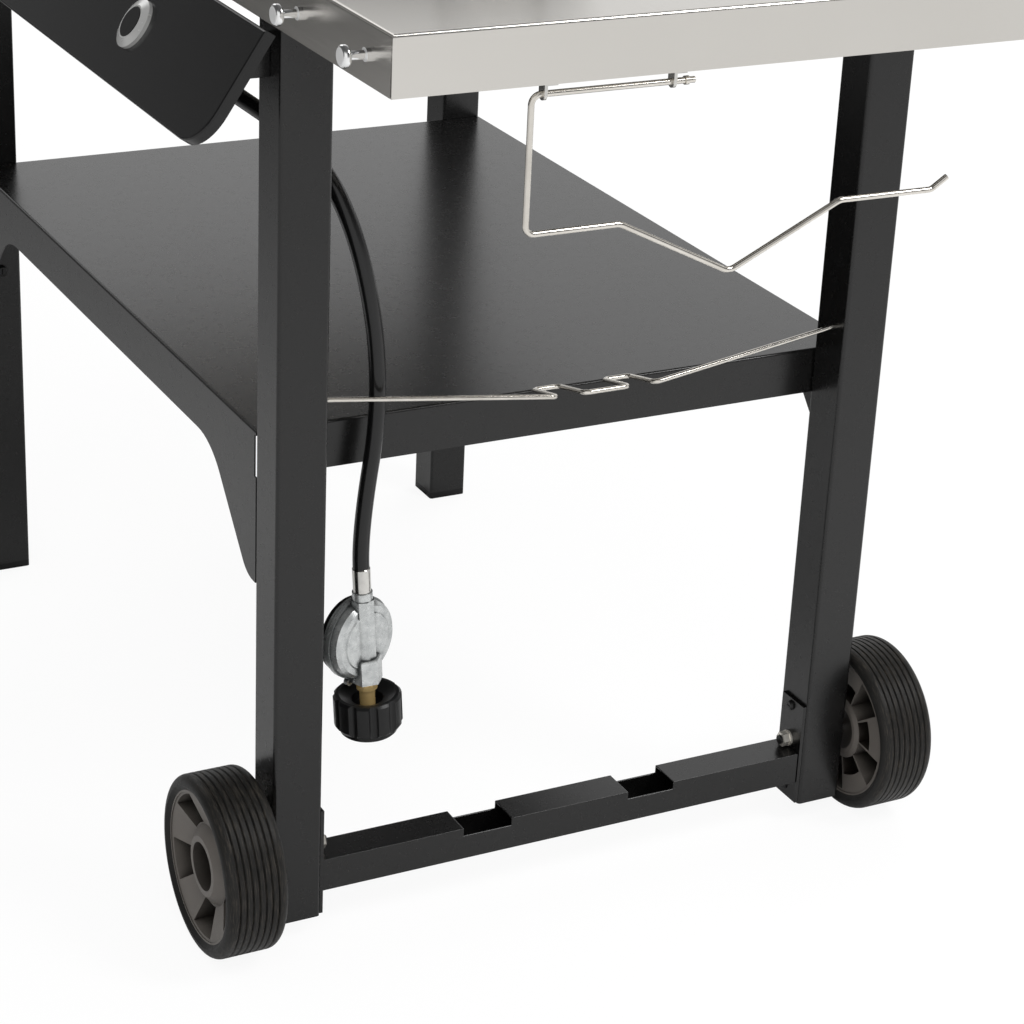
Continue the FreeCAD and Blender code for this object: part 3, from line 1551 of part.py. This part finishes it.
# Cylinder wire: pivots in the right-hand legs, leans out between them and
# steps in at the middle to hold the cylinder's neck.
def keeper_wire():
    x0 = (half_x - S.keeper_in).value
    z0 = S.keeper_z.value
    x1 = x0 + S.keeper_out.value
    z1 = z0 - S.keeper_fall.value
    x2 = x1 - S.keeper_notch.value
    z2 = z1 - S.keeper_notch_fall.value
    flat = S.keeper_flat.value
    end = inner_y.value + S.keeper_end.value
    half = [(x0, -end, z0), (x0, 4 - inner_y.value, z0), (x1, -3.67 * flat, z1), (x2, -3.67 * flat, z2)]
    half += [(x2, -1.67 * flat, z2), (x1, -1.67 * flat, z1)]
    points = [V(x, mid_y.value + y, z) for x, y, z in half]
    points += [V(x, mid_y.value - y, z) for x, y, z in reversed(half)]
    return feature_of("keeper_wire", rod(points, S.keeper_r.value, S.keeper_bend.value))


keep(keeper_wire())


# Roll holder: a wire that hangs in two pierced tabs under the right-hand hem
# and carries a paper roll on its lower arm.
roll_x = end_x - S.roll_in
roll_z = skirt_low - S.roll_down
ROLL_ARM = [(175.0, 0.0), (267.0, -45.5), (357.0, -2.0), (437.0, -2.5), (450.0, 6.0)]


def roll_holder():
    x = roll_x.value
    z = roll_z.value
    low = z - S.roll_drop.value
    y0 = front_y.value
    points = [V(x, y0 + S.roll_back.value, z), V(x, y0 + S.roll_front.value, z), V(x, y0 + S.roll_front.value, low)]
    points += [V(x, y0 + y, low + dz) for y, dz in ROLL_ARM]
    bends = [S.roll_bend.value, S.roll_bend.value, 14.0, 12.0, 14.0, 8.0]
    wire = rod(points, S.roll_r.value, bends)
    stop_y = y0 + S.clip_second.value + S.stop_at.value
    stop = Part.makeCylinder(S.roll_r.value + S.stop_step.value, S.stop_len.value, V(x, stop_y, z), V(0, 1, 0))
    return feature_of("roll_wire", wire.fuse(stop))


def roll_clips():
    clips = []
    for n, at in enumerate((S.clip_first, S.clip_second)):
        body = new_body("roll_clip_%d" % n)
        half = S.clip_t / 2
        bore = S.roll_r + S.running
        outer = bore + S.clip_wall
        eye = new_sketch(body, "XZ_Plane", half)
        circle(eye, 0, 0, outer)
        pad(body, eye, S.clip_t, True)
        tab = new_sketch(body, "XZ_Plane", half)
        rectangle(tab, -outer, outer, 0, S.roll_down)
        pad(body, tab, S.clip_t, True)
        foot = new_sketch(body, "XY_Plane", S.roll_down)
        rectangle(foot, -outer, outer, -half, S.clip_foot)
        pad(body, foot, S.clip_wall, True)
        hole = new_sketch(body, "XZ_Plane", half)
        circle(hole, 0, 0, bore)
        pocket(body, hole, S.clip_t)
        place(body, roll_x, front_y + at, roll_z)
        clips.append(body)
    return group("roll_clips", clips)


keep(roll_holder(), roll_clips())


doc.recompute()
for obj in doc.Objects:
    if "Invalid" in obj.State or "Error" in obj.State:
        raise RuntimeError("%s did not build" % obj.Label)

os.makedirs("parts", exist_ok=True)
for obj in pieces:
    shape = obj.Shape
    if shape.isNull() or not shape.isValid() or not shape.Solids:
        raise RuntimeError("%s has no valid shape" % obj.Label)
    shape.exportStep("parts/%s.step" % obj.Label)
print("%d pieces" % len(pieces))
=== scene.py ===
import bpy
import math
from mathutils import Matrix, Vector


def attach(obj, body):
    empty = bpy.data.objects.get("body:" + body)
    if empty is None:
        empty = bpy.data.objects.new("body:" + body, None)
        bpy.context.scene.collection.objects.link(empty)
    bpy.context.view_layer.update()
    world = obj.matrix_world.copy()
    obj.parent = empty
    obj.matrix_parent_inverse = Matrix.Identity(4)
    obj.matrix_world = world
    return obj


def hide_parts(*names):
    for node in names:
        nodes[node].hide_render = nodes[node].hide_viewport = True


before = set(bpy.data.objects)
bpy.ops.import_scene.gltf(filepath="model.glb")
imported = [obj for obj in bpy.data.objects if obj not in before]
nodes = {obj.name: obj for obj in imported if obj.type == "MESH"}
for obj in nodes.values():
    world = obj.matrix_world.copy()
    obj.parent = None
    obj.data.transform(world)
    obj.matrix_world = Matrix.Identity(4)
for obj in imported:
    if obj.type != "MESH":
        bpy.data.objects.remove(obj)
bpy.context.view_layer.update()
scene = bpy.context.scene
scene.view_settings.view_transform = "Standard"


# Camera: the photograph's station point, looking down at the right-hand end.
STATION = (2.1713, -1.0115, 1.2556)
CAMERA_RIGHT = (0.45424, 0.88983, 0.04325)
CAMERA_BACK = (0.80440, -0.43053, 0.40937)
SENSOR_MM = 36.0
LENS_MM = 96.717
NEAREST = 0.05
FARTHEST = 100.0


def make_camera():
    data = bpy.data.cameras.new("photo_camera")
    data.sensor_width = SENSOR_MM
    data.lens = LENS_MM
    data.clip_start = NEAREST
    data.clip_end = FARTHEST
    camera = bpy.data.objects.new("photo_camera", data)
    right = Vector(CAMERA_RIGHT).normalized()
    back = Vector(CAMERA_BACK).normalized()
    up = back.cross(right).normalized()
    right = up.cross(back)
    turn = Matrix((right, up, back)).transposed().to_4x4()
    camera.matrix_world = Matrix.Translation(STATION) @ turn
    scene.collection.objects.link(camera)
    scene.camera = camera


make_camera()


# Material building blocks. Lengths are in metres, in the part's own frame.
AXLE = (0.3825, 0.0, 0.0760)
TREAD_STARTS, TREAD_FULL = 0.0705, 0.0752
# The wheel's bore, where the hub gets painted shade.
BORE_INSIDE, BORE_OUTSIDE = 0.0194, 0.0210
NOISE_LOW, NOISE_HIGH = 0.3, 0.7
RELIEF = 0.0002
BLACK = (0.0, 0.0, 0.0)
WHITE = (1.0, 1.0, 1.0)
# Sockets of a colour mix.
MIX_SHARE, MIX_FIRST, MIX_SECOND, MIX_RESULT = 0, 6, 7, 2


class Graph:
    """A short way to add and wire shader nodes."""

    def __init__(self, tree):
        self.tree = tree
        tree.nodes.clear()

    def add(self, kind, **props):
        node = self.tree.nodes.new(kind)
        for key, value in props.items():
            setattr(node, key, value)
        return node

    def feed(self, value, socket):
        """Links another socket, or sets a fixed value."""
        if isinstance(value, bpy.types.NodeSocket):
            self.tree.links.new(value, socket)
        else:
            socket.default_value = value

    def math(self, operation, *values):
        node = self.add("ShaderNodeMath", operation=operation)
        for value, socket in zip(values, node.inputs):
            self.feed(value, socket)
        return node.outputs["Value"]

    def vector(self, operation, first, second):
        node = self.add("ShaderNodeVectorMath", operation=operation)
        self.feed(first, node.inputs[0])
        self.feed(second, node.inputs[1])
        return node.outputs["Vector"]

    def length(self, vector):
        node = self.add("ShaderNodeVectorMath", operation="LENGTH")
        self.feed(vector, node.inputs[0])
        return node.outputs["Value"]

    def split(self, vector):
        """The three parts of a vector, by letter."""
        node = self.add("ShaderNodeSeparateXYZ")
        self.feed(vector, node.inputs["Vector"])
        return node.outputs

    def fade(self, source, start, end, low, high, course="SMOOTHSTEP"):
        """A change from low to high while the source goes from start to end."""
        node = self.add("ShaderNodeMapRange", interpolation_type=course)
        node.inputs["From Min"].default_value = start
        node.inputs["From Max"].default_value = end
        node.inputs["To Min"].default_value = low
        node.inputs["To Max"].default_value = high
        self.feed(source, node.inputs["Value"])
        return node.outputs["Result"]

    def mix_shaders(self, share, first, second):
        node = self.add("ShaderNodeMixShader")
        self.feed(share, node.inputs["Fac"])
        self.feed(first, node.inputs[1])
        self.feed(second, node.inputs[2])
        return node.outputs["Shader"]


class Finish(Graph):
    """A material with one shader, laid out in the part's own frame."""

    def __init__(self, name):
        self.material = bpy.data.materials.new(name)
        self.material.use_nodes = True
        super().__init__(self.material.node_tree)
        self.out = self.add("ShaderNodeOutputMaterial")
        self.shader = self.add("ShaderNodeBsdfPrincipled")
        self.feed(self.shader.outputs["BSDF"], self.out.inputs["Surface"])
        where = self.add("ShaderNodeTexCoord")
        self.place = where.outputs["Object"]
        self.normal = where.outputs["Normal"]

    def set(self, **values):
        """Feeds the shader's sockets, each named with underscores for spaces."""
        for key, value in values.items():
            self.feed(value, self.shader.inputs[key.replace("_", " ")])

    def noise(self, scale, detail, rough, stretch=None):
        """Fractal noise, drawn out along an axis if asked."""
        node = self.add("ShaderNodeTexNoise")
        node.inputs["Scale"].default_value = scale
        node.inputs["Detail"].default_value = detail
        node.inputs["Roughness"].default_value = rough
        place = self.place
        if stretch:
            mapping = self.add("ShaderNodeMapping")
            mapping.inputs["Scale"].default_value = stretch
            self.feed(place, mapping.inputs["Vector"])
            place = mapping.outputs["Vector"]
        self.feed(place, node.inputs["Vector"])
        return node.outputs["Fac"]

    def ramp(self, source, low, high, first, second):
        """Maps a value between two stops onto two colours."""
        node = self.add("ShaderNodeValToRGB")
        steps = node.color_ramp.elements
        steps[0].position = low
        steps[1].position = high
        steps[0].color = (*first, 1.0)
        steps[1].color = (*second, 1.0)
        self.feed(source, node.inputs["Fac"])
        return node.outputs["Color"]

    def mottle(self, scale, dark, light, detail=4.0, rough=0.55):
        """A cloudy colour between dark and light."""
        return self.ramp(self.noise(scale, detail, rough), NOISE_LOW, NOISE_HIGH, dark, light)

    def grain(self, scale, rough, strength, relief=RELIEF, stretch=None):
        """Uneven gloss and a fine relief, both from one noise."""
        fine = self.noise(scale, 3.0, 0.6, stretch)
        self.set(Roughness=self.fade(fine, NOISE_LOW, NOISE_HIGH, *rough, course="LINEAR"))
        bump = self.add("ShaderNodeBump")
        bump.inputs["Strength"].default_value = strength
        bump.inputs["Distance"].default_value = relief
        self.feed(fine, bump.inputs["Height"])
        self.set(Normal=bump.outputs["Normal"])

    def blend(self, share, first, second):
        """A colour that goes from first to second with the share."""
        node = self.add("ShaderNodeMix", data_type="RGBA")
        self.feed(share, node.inputs[MIX_SHARE])
        self.feed(first, node.inputs[MIX_FIRST])
        self.feed(second, node.inputs[MIX_SECOND])
        return node.outputs[MIX_RESULT]

    def outwards(self, start, end, low):
        """Rises from low to one between two distances from the wheels' axle."""
        offset = self.vector("SUBTRACT", self.place, AXLE)
        radius = self.length(self.vector("MULTIPLY", offset, (1.0, 0.0, 1.0)))
        return self.fade(radius, start, end, low, 1.0)

    def openness(self, reach, samples, low, high):
        """Black deep in a recess of the piece itself, white out in the open: a mask for painted
        shade.
        """
        node = self.add("ShaderNodeAmbientOcclusion", samples=samples, only_local=True)
        node.inputs["Distance"].default_value = reach
        return self.ramp(node.outputs["AO"], low, high, BLACK, WHITE)


def surface(name, dark, light, rough, grain, bump, metallic=0.0, specular=0.5, stretch=None,
            cloud=6.0):
    """A finish with cloudy colour, uneven gloss and a fine grain in relief."""
    f = Finish(name)
    f.set(Metallic=metallic, Specular_IOR_Level=specular)
    f.set(Base_Color=f.mottle(cloud, dark, light))
    f.grain(grain, rough, bump, stretch=stretch)
    return f.material


def brushed(name, dark, light, rough):
    """Sheet steel brushed along each face, so that its gloss is drawn out across the grain."""
    f = Finish(name)
    f.set(Metallic=1.0, Anisotropic=0.75)
    f.set(Base_Color=f.mottle(2.5, dark, light, 3.0, 0.5))
    f.grain(70.0, rough, 0.008, 0.0001, (0.25, 12.0, 12.0))
    level = f.math("ABSOLUTE", f.split(f.normal)["Z"])
    across = f.add("ShaderNodeCombineXYZ")
    f.feed(level, across.inputs["Y"])
    f.feed(f.math("SUBTRACT", 1.0, level), across.inputs["Z"])
    f.set(Tangent=f.vector("CROSS_PRODUCT", f.normal, across.outputs["Vector"]))
    return f.material


def polished(name, dark, light, rough):
    """Mirror plate whose end faces, square to Y, are made part diffuse so they render light, a
    painted reflection.
    """
    f = Finish(name)
    f.set(Base_Color=f.mottle(6.0, dark, light))
    f.grain(300.0, rough, 0.01)
    # Painted reflection: the end faces lose most of their metal so they render light.
    lit_ends = f.math("ABSOLUTE", f.split(f.normal)["Y"])
    f.set(Metallic=f.fade(lit_ends, 0.90, 0.98, 1.0, 0.3, course="LINEAR"))
    return f.material


def rubber(name, dark, light, dust):
    """Moulded rubber with road dust in streaks round its tread."""
    f = Finish(name)
    f.set(Specular_IOR_Level=0.18)
    streaks = f.noise(1.0, 6.0, 0.70, (90.0, 1400.0, 90.0))
    worn = f.ramp(streaks, 0.50, 0.82, BLACK, WHITE)
    dusty = f.math("MULTIPLY", worn, f.outwards(TREAD_STARTS, TREAD_FULL, 0.06))
    f.set(Base_Color=f.blend(dusty, f.mottle(22.0, dark, light), (*dust, 1.0)))
    f.grain(420.0, (0.38, 0.52), 0.08)
    return f.material


def moulded(name, dark, light, shade_colour, reach):
    """Matt plastic with painted shade: darker where it lies deep between ribs and in the wheel's
    bore.
    """
    f = Finish(name)
    f.set(Specular_IOR_Level=0.35)
    # Painted shade: a dark colour in the piece's recesses and inside the wheel's bore.
    unshaded = f.math("MULTIPLY", f.openness(reach, 8, 0.40, 0.95),
                   f.outwards(BORE_INSIDE, BORE_OUTSIDE, 0.04))
    f.set(Base_Color=f.blend(unshaded, (*shade_colour, 1.0), f.mottle(14.0, dark, light)))
    f.grain(1100.0, (0.40, 0.52), 0.08)
    return f.material


def casting(name, dark, light, crease_shade, reach):
    """Bare cast zinc, mottled, with painted shade that darkens its creases."""
    f = Finish(name)
    f.set(Metallic=0.75)
    # Painted shade in the casting's creases, from local occlusion.
    unshaded = f.openness(reach, 16, 0.62, 0.96)
    f.set(Base_Color=f.blend(unshaded, (*crease_shade, 1.0), f.mottle(150.0, dark, light)))
    f.grain(420.0, (0.24, 0.36), 0.12)
    return f.material


# Finishes: dark and light colour, range of roughness, then grain and relief.
COAT = surface("powder_coat", (0.0034, 0.0033, 0.0032), (0.0052, 0.0050, 0.0049),
               (0.25, 0.28), 140.0, 0.002, specular=0.45)
PANEL = surface("panel_paint", (0.0028, 0.0028, 0.0029), (0.0042, 0.0042, 0.0044),
                (0.20, 0.24), 160.0, 0.005, specular=0.40)
STEEL = brushed("brushed_top", (0.60, 0.58, 0.545), (0.65, 0.63, 0.595), (0.21, 0.26))
CHROME = polished("chrome", (0.78, 0.78, 0.78), (0.84, 0.84, 0.84), (0.05, 0.09))
NICKEL = surface("nickel_wire", (0.60, 0.57, 0.52), (0.72, 0.69, 0.64),
                 (0.12, 0.20), 260.0, 0.03, 1.0, stretch=(6.0, 0.6, 6.0), cloud=40.0)
# The zinc's last two values are the colour and reach of its painted shade.
ZINC = casting("zinc_casting", (0.44, 0.455, 0.455), (0.61, 0.625, 0.62),
               (0.10, 0.105, 0.105), 0.006)
BRIGHT = surface("bright_zinc", (0.66, 0.63, 0.57), (0.76, 0.73, 0.67),
                 (0.14, 0.22), 300.0, 0.01, 0.6)
PLATED = surface("zinc_plate", (0.50, 0.49, 0.47), (0.64, 0.63, 0.60),
                 (0.14, 0.24), 400.0, 0.04, 1.0, cloud=90.0)
BRASS = surface("brass", (0.84, 0.58, 0.23), (0.97, 0.72, 0.34),
                (0.12, 0.20), 200.0, 0.02, 0.6, cloud=40.0)
PLASTIC = surface("black_plastic", (0.0036, 0.0036, 0.0037), (0.0060, 0.0060, 0.0061),
                  (0.28, 0.40), 1400.0, 0.10, specular=0.30)
GREY = surface("igniter_grey", (0.58, 0.58, 0.57), (0.66, 0.66, 0.65),
               (0.22, 0.28), 200.0, 0.002, 0.5)
TYRE = rubber("tyre_rubber", (0.0090, 0.0087, 0.0083), (0.0140, 0.0135, 0.0128),
              (0.080, 0.068, 0.054))
# The hub's last two values are the colour and reach of its painted shade.
HUB = moulded("hub_plastic", (0.112, 0.101, 0.091), (0.140, 0.127, 0.114),
              (0.009, 0.007, 0.0055), 0.026)
IRON = surface("cast_iron", (0.018, 0.018, 0.018), (0.034, 0.032, 0.031),
               (0.50, 0.68), 500.0, 0.35, 0.3, cloud=30.0)
WOK = surface("blued_steel", (0.028, 0.029, 0.033), (0.060, 0.056, 0.054),
              (0.26, 0.40), 240.0, 0.08, 0.9, cloud=10.0)
SCREW = surface("black_oxide", (0.010, 0.010, 0.010), (0.018, 0.018, 0.018),
                (0.28, 0.40), 800.0, 0.08, 0.5)
HOSE = surface("hose_rubber", (0.0036, 0.0036, 0.0037), (0.0056, 0.0056, 0.0058),
               (0.18, 0.27), 1000.0, 0.04, specular=0.40)
CERAMIC = surface("glazed_ceramic", (0.72, 0.70, 0.64), (0.82, 0.80, 0.75),
                  (0.12, 0.22), 300.0, 0.04)

FINISH = {
    COAT: ["leg_front_right", "leg_rear_right", "leg_front_left", "leg_rear_left",
           "rail_front", "rail_rear", "rail_left", "rail_right", "panel_brackets",
           "lower_shelf", "cross_bar", "bar_end_plates"],
    PANEL: ["control_panel"],
    STEEL: ["table_top", "burner_bowl"],
    CHROME: ["tool_hooks", "knob_ring"],
    BRIGHT: ["axle_nuts"],
    NICKEL: ["keeper_wire", "roll_wire"],
    PLATED: ["hook_nuts", "axle_spacers", "igniter_nut", "hose_ferrule", "inlet_ferrule",
             "wok_handles", "roll_clips"],
    PLASTIC: ["foot_glides", "leg_plugs", "knob", "igniter_button", "igniter_barrel",
              "regulator_cap", "regulator_nut"],
    GREY: ["igniter_bezel"],
    TYRE: ["tyre_front", "tyre_rear"],
    HUB: ["hub_front", "hub_rear"],
    ZINC: ["regulator_body"],
    BRASS: ["regulator_nipple", "valve_body", "valve_stem", "inlet_fitting", "feed_tube"],
    IRON: ["burner", "mixer_elbow", "wok_ring"],
    WOK: ["wok"],
    SCREW: ["shelf_bolts", "bar_screws", "axle_bolts"],
    CERAMIC: ["electrode"],
}
for finish, names in FINISH.items():
    for name in names:
        piece = nodes[name]
        piece.data.materials.clear()
        piece.data.materials.append(finish)


# Fine broken edges on the sawn bar and the panel's gussets.
EDGE_WIDTH = 0.0007
EDGE_STEPS = 3
EDGE_ANGLE = 40.0
JOIN_WITHIN = 0.00001

for name in ("cross_bar", "panel_brackets"):
    joined = nodes[name].modifiers.new("joined_faces", "WELD")
    joined.merge_threshold = JOIN_WITHIN
    edge = nodes[name].modifiers.new("broken_edges", "BEVEL")
    edge.width = EDGE_WIDTH
    edge.segments = EDGE_STEPS
    edge.use_clamp_overlap = False
    edge.limit_method = "ANGLE"
    edge.angle_limit = math.radians(EDGE_ANGLE)


# Gas hose: one smooth line along the route's points, with the regulator on its end.
HOSE_DIAMETER = 0.0135
HOSE_ROUTE = [
    (-0.1500, -0.27549, 0.70196),
    (-0.0365, -0.27358, 0.6960),
    (0.1035, -0.26558, 0.6900),
    (0.2339, -0.25148, 0.6805),
    (0.3554, -0.22048, 0.6586),
    (0.3825, -0.19178, 0.5878),
    (0.3825, -0.17178, 0.4681),
    (0.3825, -0.18918, 0.34933),
    (0.3825, -0.18708, 0.3194),
]


def gas_hose():
    curve = bpy.data.curves.new("gas_hose_line", "CURVE")
    curve.dimensions = "3D"
    curve.bevel_depth = HOSE_DIAMETER / 2
    curve.bevel_resolution = 6
    curve.resolution_u = 16
    spline = curve.splines.new("NURBS")
    spline.points.add(len(HOSE_ROUTE) - 1)
    for point, place in zip(spline.points, HOSE_ROUTE):
        point.co = (*place, 1.0)
    spline.order_u = 3
    spline.use_endpoint_u = True
    hose = bpy.data.objects.new("gas_hose_line", curve)
    scene.collection.objects.link(hose)
    hose.data.materials.append(HOSE)
    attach(hose, "cart")
    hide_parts("gas_hose")


gas_hose()


# Surround: even soft light, white to the eye. In the gloss it is a studio with
# white walls to the right and behind, which are dark in the corner between
# them, with a dim front and ceiling and a bright panel high on the left.
SOFT_LIGHT = 0.55


def surround():
    world = bpy.data.worlds.new("surround")
    scene.world = world
    world.cycles.sampling_method = "NONE"
    world.use_nodes = True
    g = Graph(world.node_tree)

    def background(strength):
        node = g.add("ShaderNodeBackground")
        node.inputs["Color"].default_value = (*WHITE, 1.0)
        g.feed(strength, node.inputs["Strength"])
        return node.outputs["Background"]

    towards = g.split(g.add("ShaderNodeTexCoord").outputs["Generated"])
    x, y, z = towards["X"], towards["Y"], towards["Z"]
    walls = g.math("MAXIMUM", g.fade(x, 0.0, 0.5, 0.0, 1.0), g.fade(y, -0.10, 0.25, 0.0, 1.0))
    walls = g.math("MULTIPLY", walls, g.fade(z, 0.50, 0.80, 1.0, 0.15))
    corner = g.math("MULTIPLY", g.fade(x, 0.15, 0.45, 0.0, 1.0), g.fade(y, 0.05, 0.35, 0.0, 1.0))
    walls = g.math("MULTIPLY", walls, g.fade(corner, 0.0, 1.0, 1.0, 0.05))
    front = g.fade(z, 0.0, 0.35, 0.40, 0.10)
    panel = g.math("MULTIPLY", g.fade(x, -0.75, -0.55, 1.6, 0.0), g.fade(z, 0.20, 0.32, 0.0, 1.0))
    panel = g.math("MULTIPLY", panel, g.fade(y, -0.32, -0.18, 0.0, 1.0))
    panel = g.math("MULTIPLY", panel, g.fade(y, 0.05, 0.20, 1.0, 0.0))
    studio_walls = g.math("MAXIMUM", walls, g.math("MAXIMUM", front, panel))

    rays = g.add("ShaderNodeLightPath").outputs
    shaded = g.mix_shaders(rays["Is Glossy Ray"], background(SOFT_LIGHT), background(studio_walls))
    seen = g.math("MAXIMUM", rays["Is Camera Ray"], rays["Is Transmission Ray"])
    whole = g.mix_shaders(seen, shaded, background(1.0))
    g.feed(whole, g.add("ShaderNodeOutputWorld").inputs["Surface"])


# Studio: a pale floor that fades into a white surround, and soft lamps. In the
# gloss the floor is as lit beside the cart, white to the right, dim to the left.
FLOOR_HALF = 30.0
FLOOR_DROP = 0.0005
FLOOR_REACH = 4.0
FLOOR_GLOW = 0.90
GLOSS_GLOW = [(-2.6, 0.92), (-1.2, 0.45), (-0.3, 0.0), (1.0, 0.0), (2.6, 0.9)]
GLOSS_STRENGTH = [(-0.2, 0.04), (0.2, 1.0)]
LAMPS_AIM = (0.0, 0.0, 0.4)
# Name, place, width, height, watts, and whether shiny surfaces mirror it.
LAMPS = [
    ("key", (2.6, -1.2, 3.0), 2.4, 2.4, 50.0, False),
    ("rim", (-1.8, 2.4, 2.6), 2.2, 2.2, 50.0, False),
    ("edge", (1.8, 1.35, 2.55), 0.8, 1.2, 36.0, True),
]


def floor_finish():
    f = Finish("pale_floor")
    f.set(Base_Color=(0.86, 0.86, 0.86, 1.0), Roughness=0.9, Specular_IOR_Level=0.1)
    rays = f.add("ShaderNodeLightPath").outputs
    along = f.fade(f.split(f.place)["X"], -FLOOR_REACH, FLOOR_REACH, 0.0, 1.0, course="LINEAR")

    def profile(stops):
        """Grey levels over the floor from left to right, given at places in metres."""
        node = f.add("ShaderNodeValToRGB")
        steps = node.color_ramp.elements
        while len(steps) < len(stops):
            steps.new(0.5)
        for step, (place, level) in zip(steps, stops):
            step.position = (place + FLOOR_REACH) / (2 * FLOOR_REACH)
            step.color = (level, level, level, 1.0)
        f.feed(along, node.inputs["Fac"])
        return node.outputs["Color"]

    def choose(direct, glossy):
        """One value for rays from the eye, another for rays from a shiny surface."""
        node = f.add("ShaderNodeMix", data_type="FLOAT")
        f.feed(rays["Is Glossy Ray"], node.inputs["Factor"])
        f.feed(direct, node.inputs["A"])
        f.feed(glossy, node.inputs["B"])
        return node.outputs["Result"]

    light = f.add("ShaderNodeEmission")
    white_far_off = f.fade(f.length(f.place), 1.2, 4.5, 1.02, 1.07)
    f.feed(choose(white_far_off, profile(GLOSS_STRENGTH)), light.inputs["Strength"])
    seen = f.math("MAXIMUM", rays["Is Camera Ray"], rays["Is Glossy Ray"])
    seen = f.math("MAXIMUM", seen, rays["Is Transmission Ray"])
    glow = f.math("MULTIPLY", seen, choose(FLOOR_GLOW, profile(GLOSS_GLOW)))
    whole = f.mix_shaders(glow, f.shader.outputs["BSDF"], light.outputs["Emission"])
    f.feed(whole, f.out.inputs["Surface"])
    f.material.cycles.emission_sampling = "NONE"
    return f.material


def studio():
    data = bpy.data.meshes.new("floor")
    corners = [(-FLOOR_HALF, -FLOOR_HALF, 0), (FLOOR_HALF, -FLOOR_HALF, 0),
               (FLOOR_HALF, FLOOR_HALF, 0), (-FLOOR_HALF, FLOOR_HALF, 0)]
    data.from_pydata(corners, [], [(0, 1, 2, 3)])
    floor = bpy.data.objects.new("floor", data)
    floor.location.z = -FLOOR_DROP
    scene.collection.objects.link(floor)
    data.materials.append(floor_finish())

    surround()

    for name, place, width, height, watts, mirrored in LAMPS:
        lamp = bpy.data.lights.new(name, "AREA")
        lamp.shape = "RECTANGLE"
        lamp.size = width
        lamp.size_y = height
        lamp.energy = watts
        holder = bpy.data.objects.new(name, lamp)
        holder.location = place
        aim = Vector(LAMPS_AIM) - Vector(place)
        holder.rotation_euler = aim.to_track_quat("-Z", "Y").to_euler()
        holder.visible_glossy = mirrored
        scene.collection.objects.link(holder)


studio()
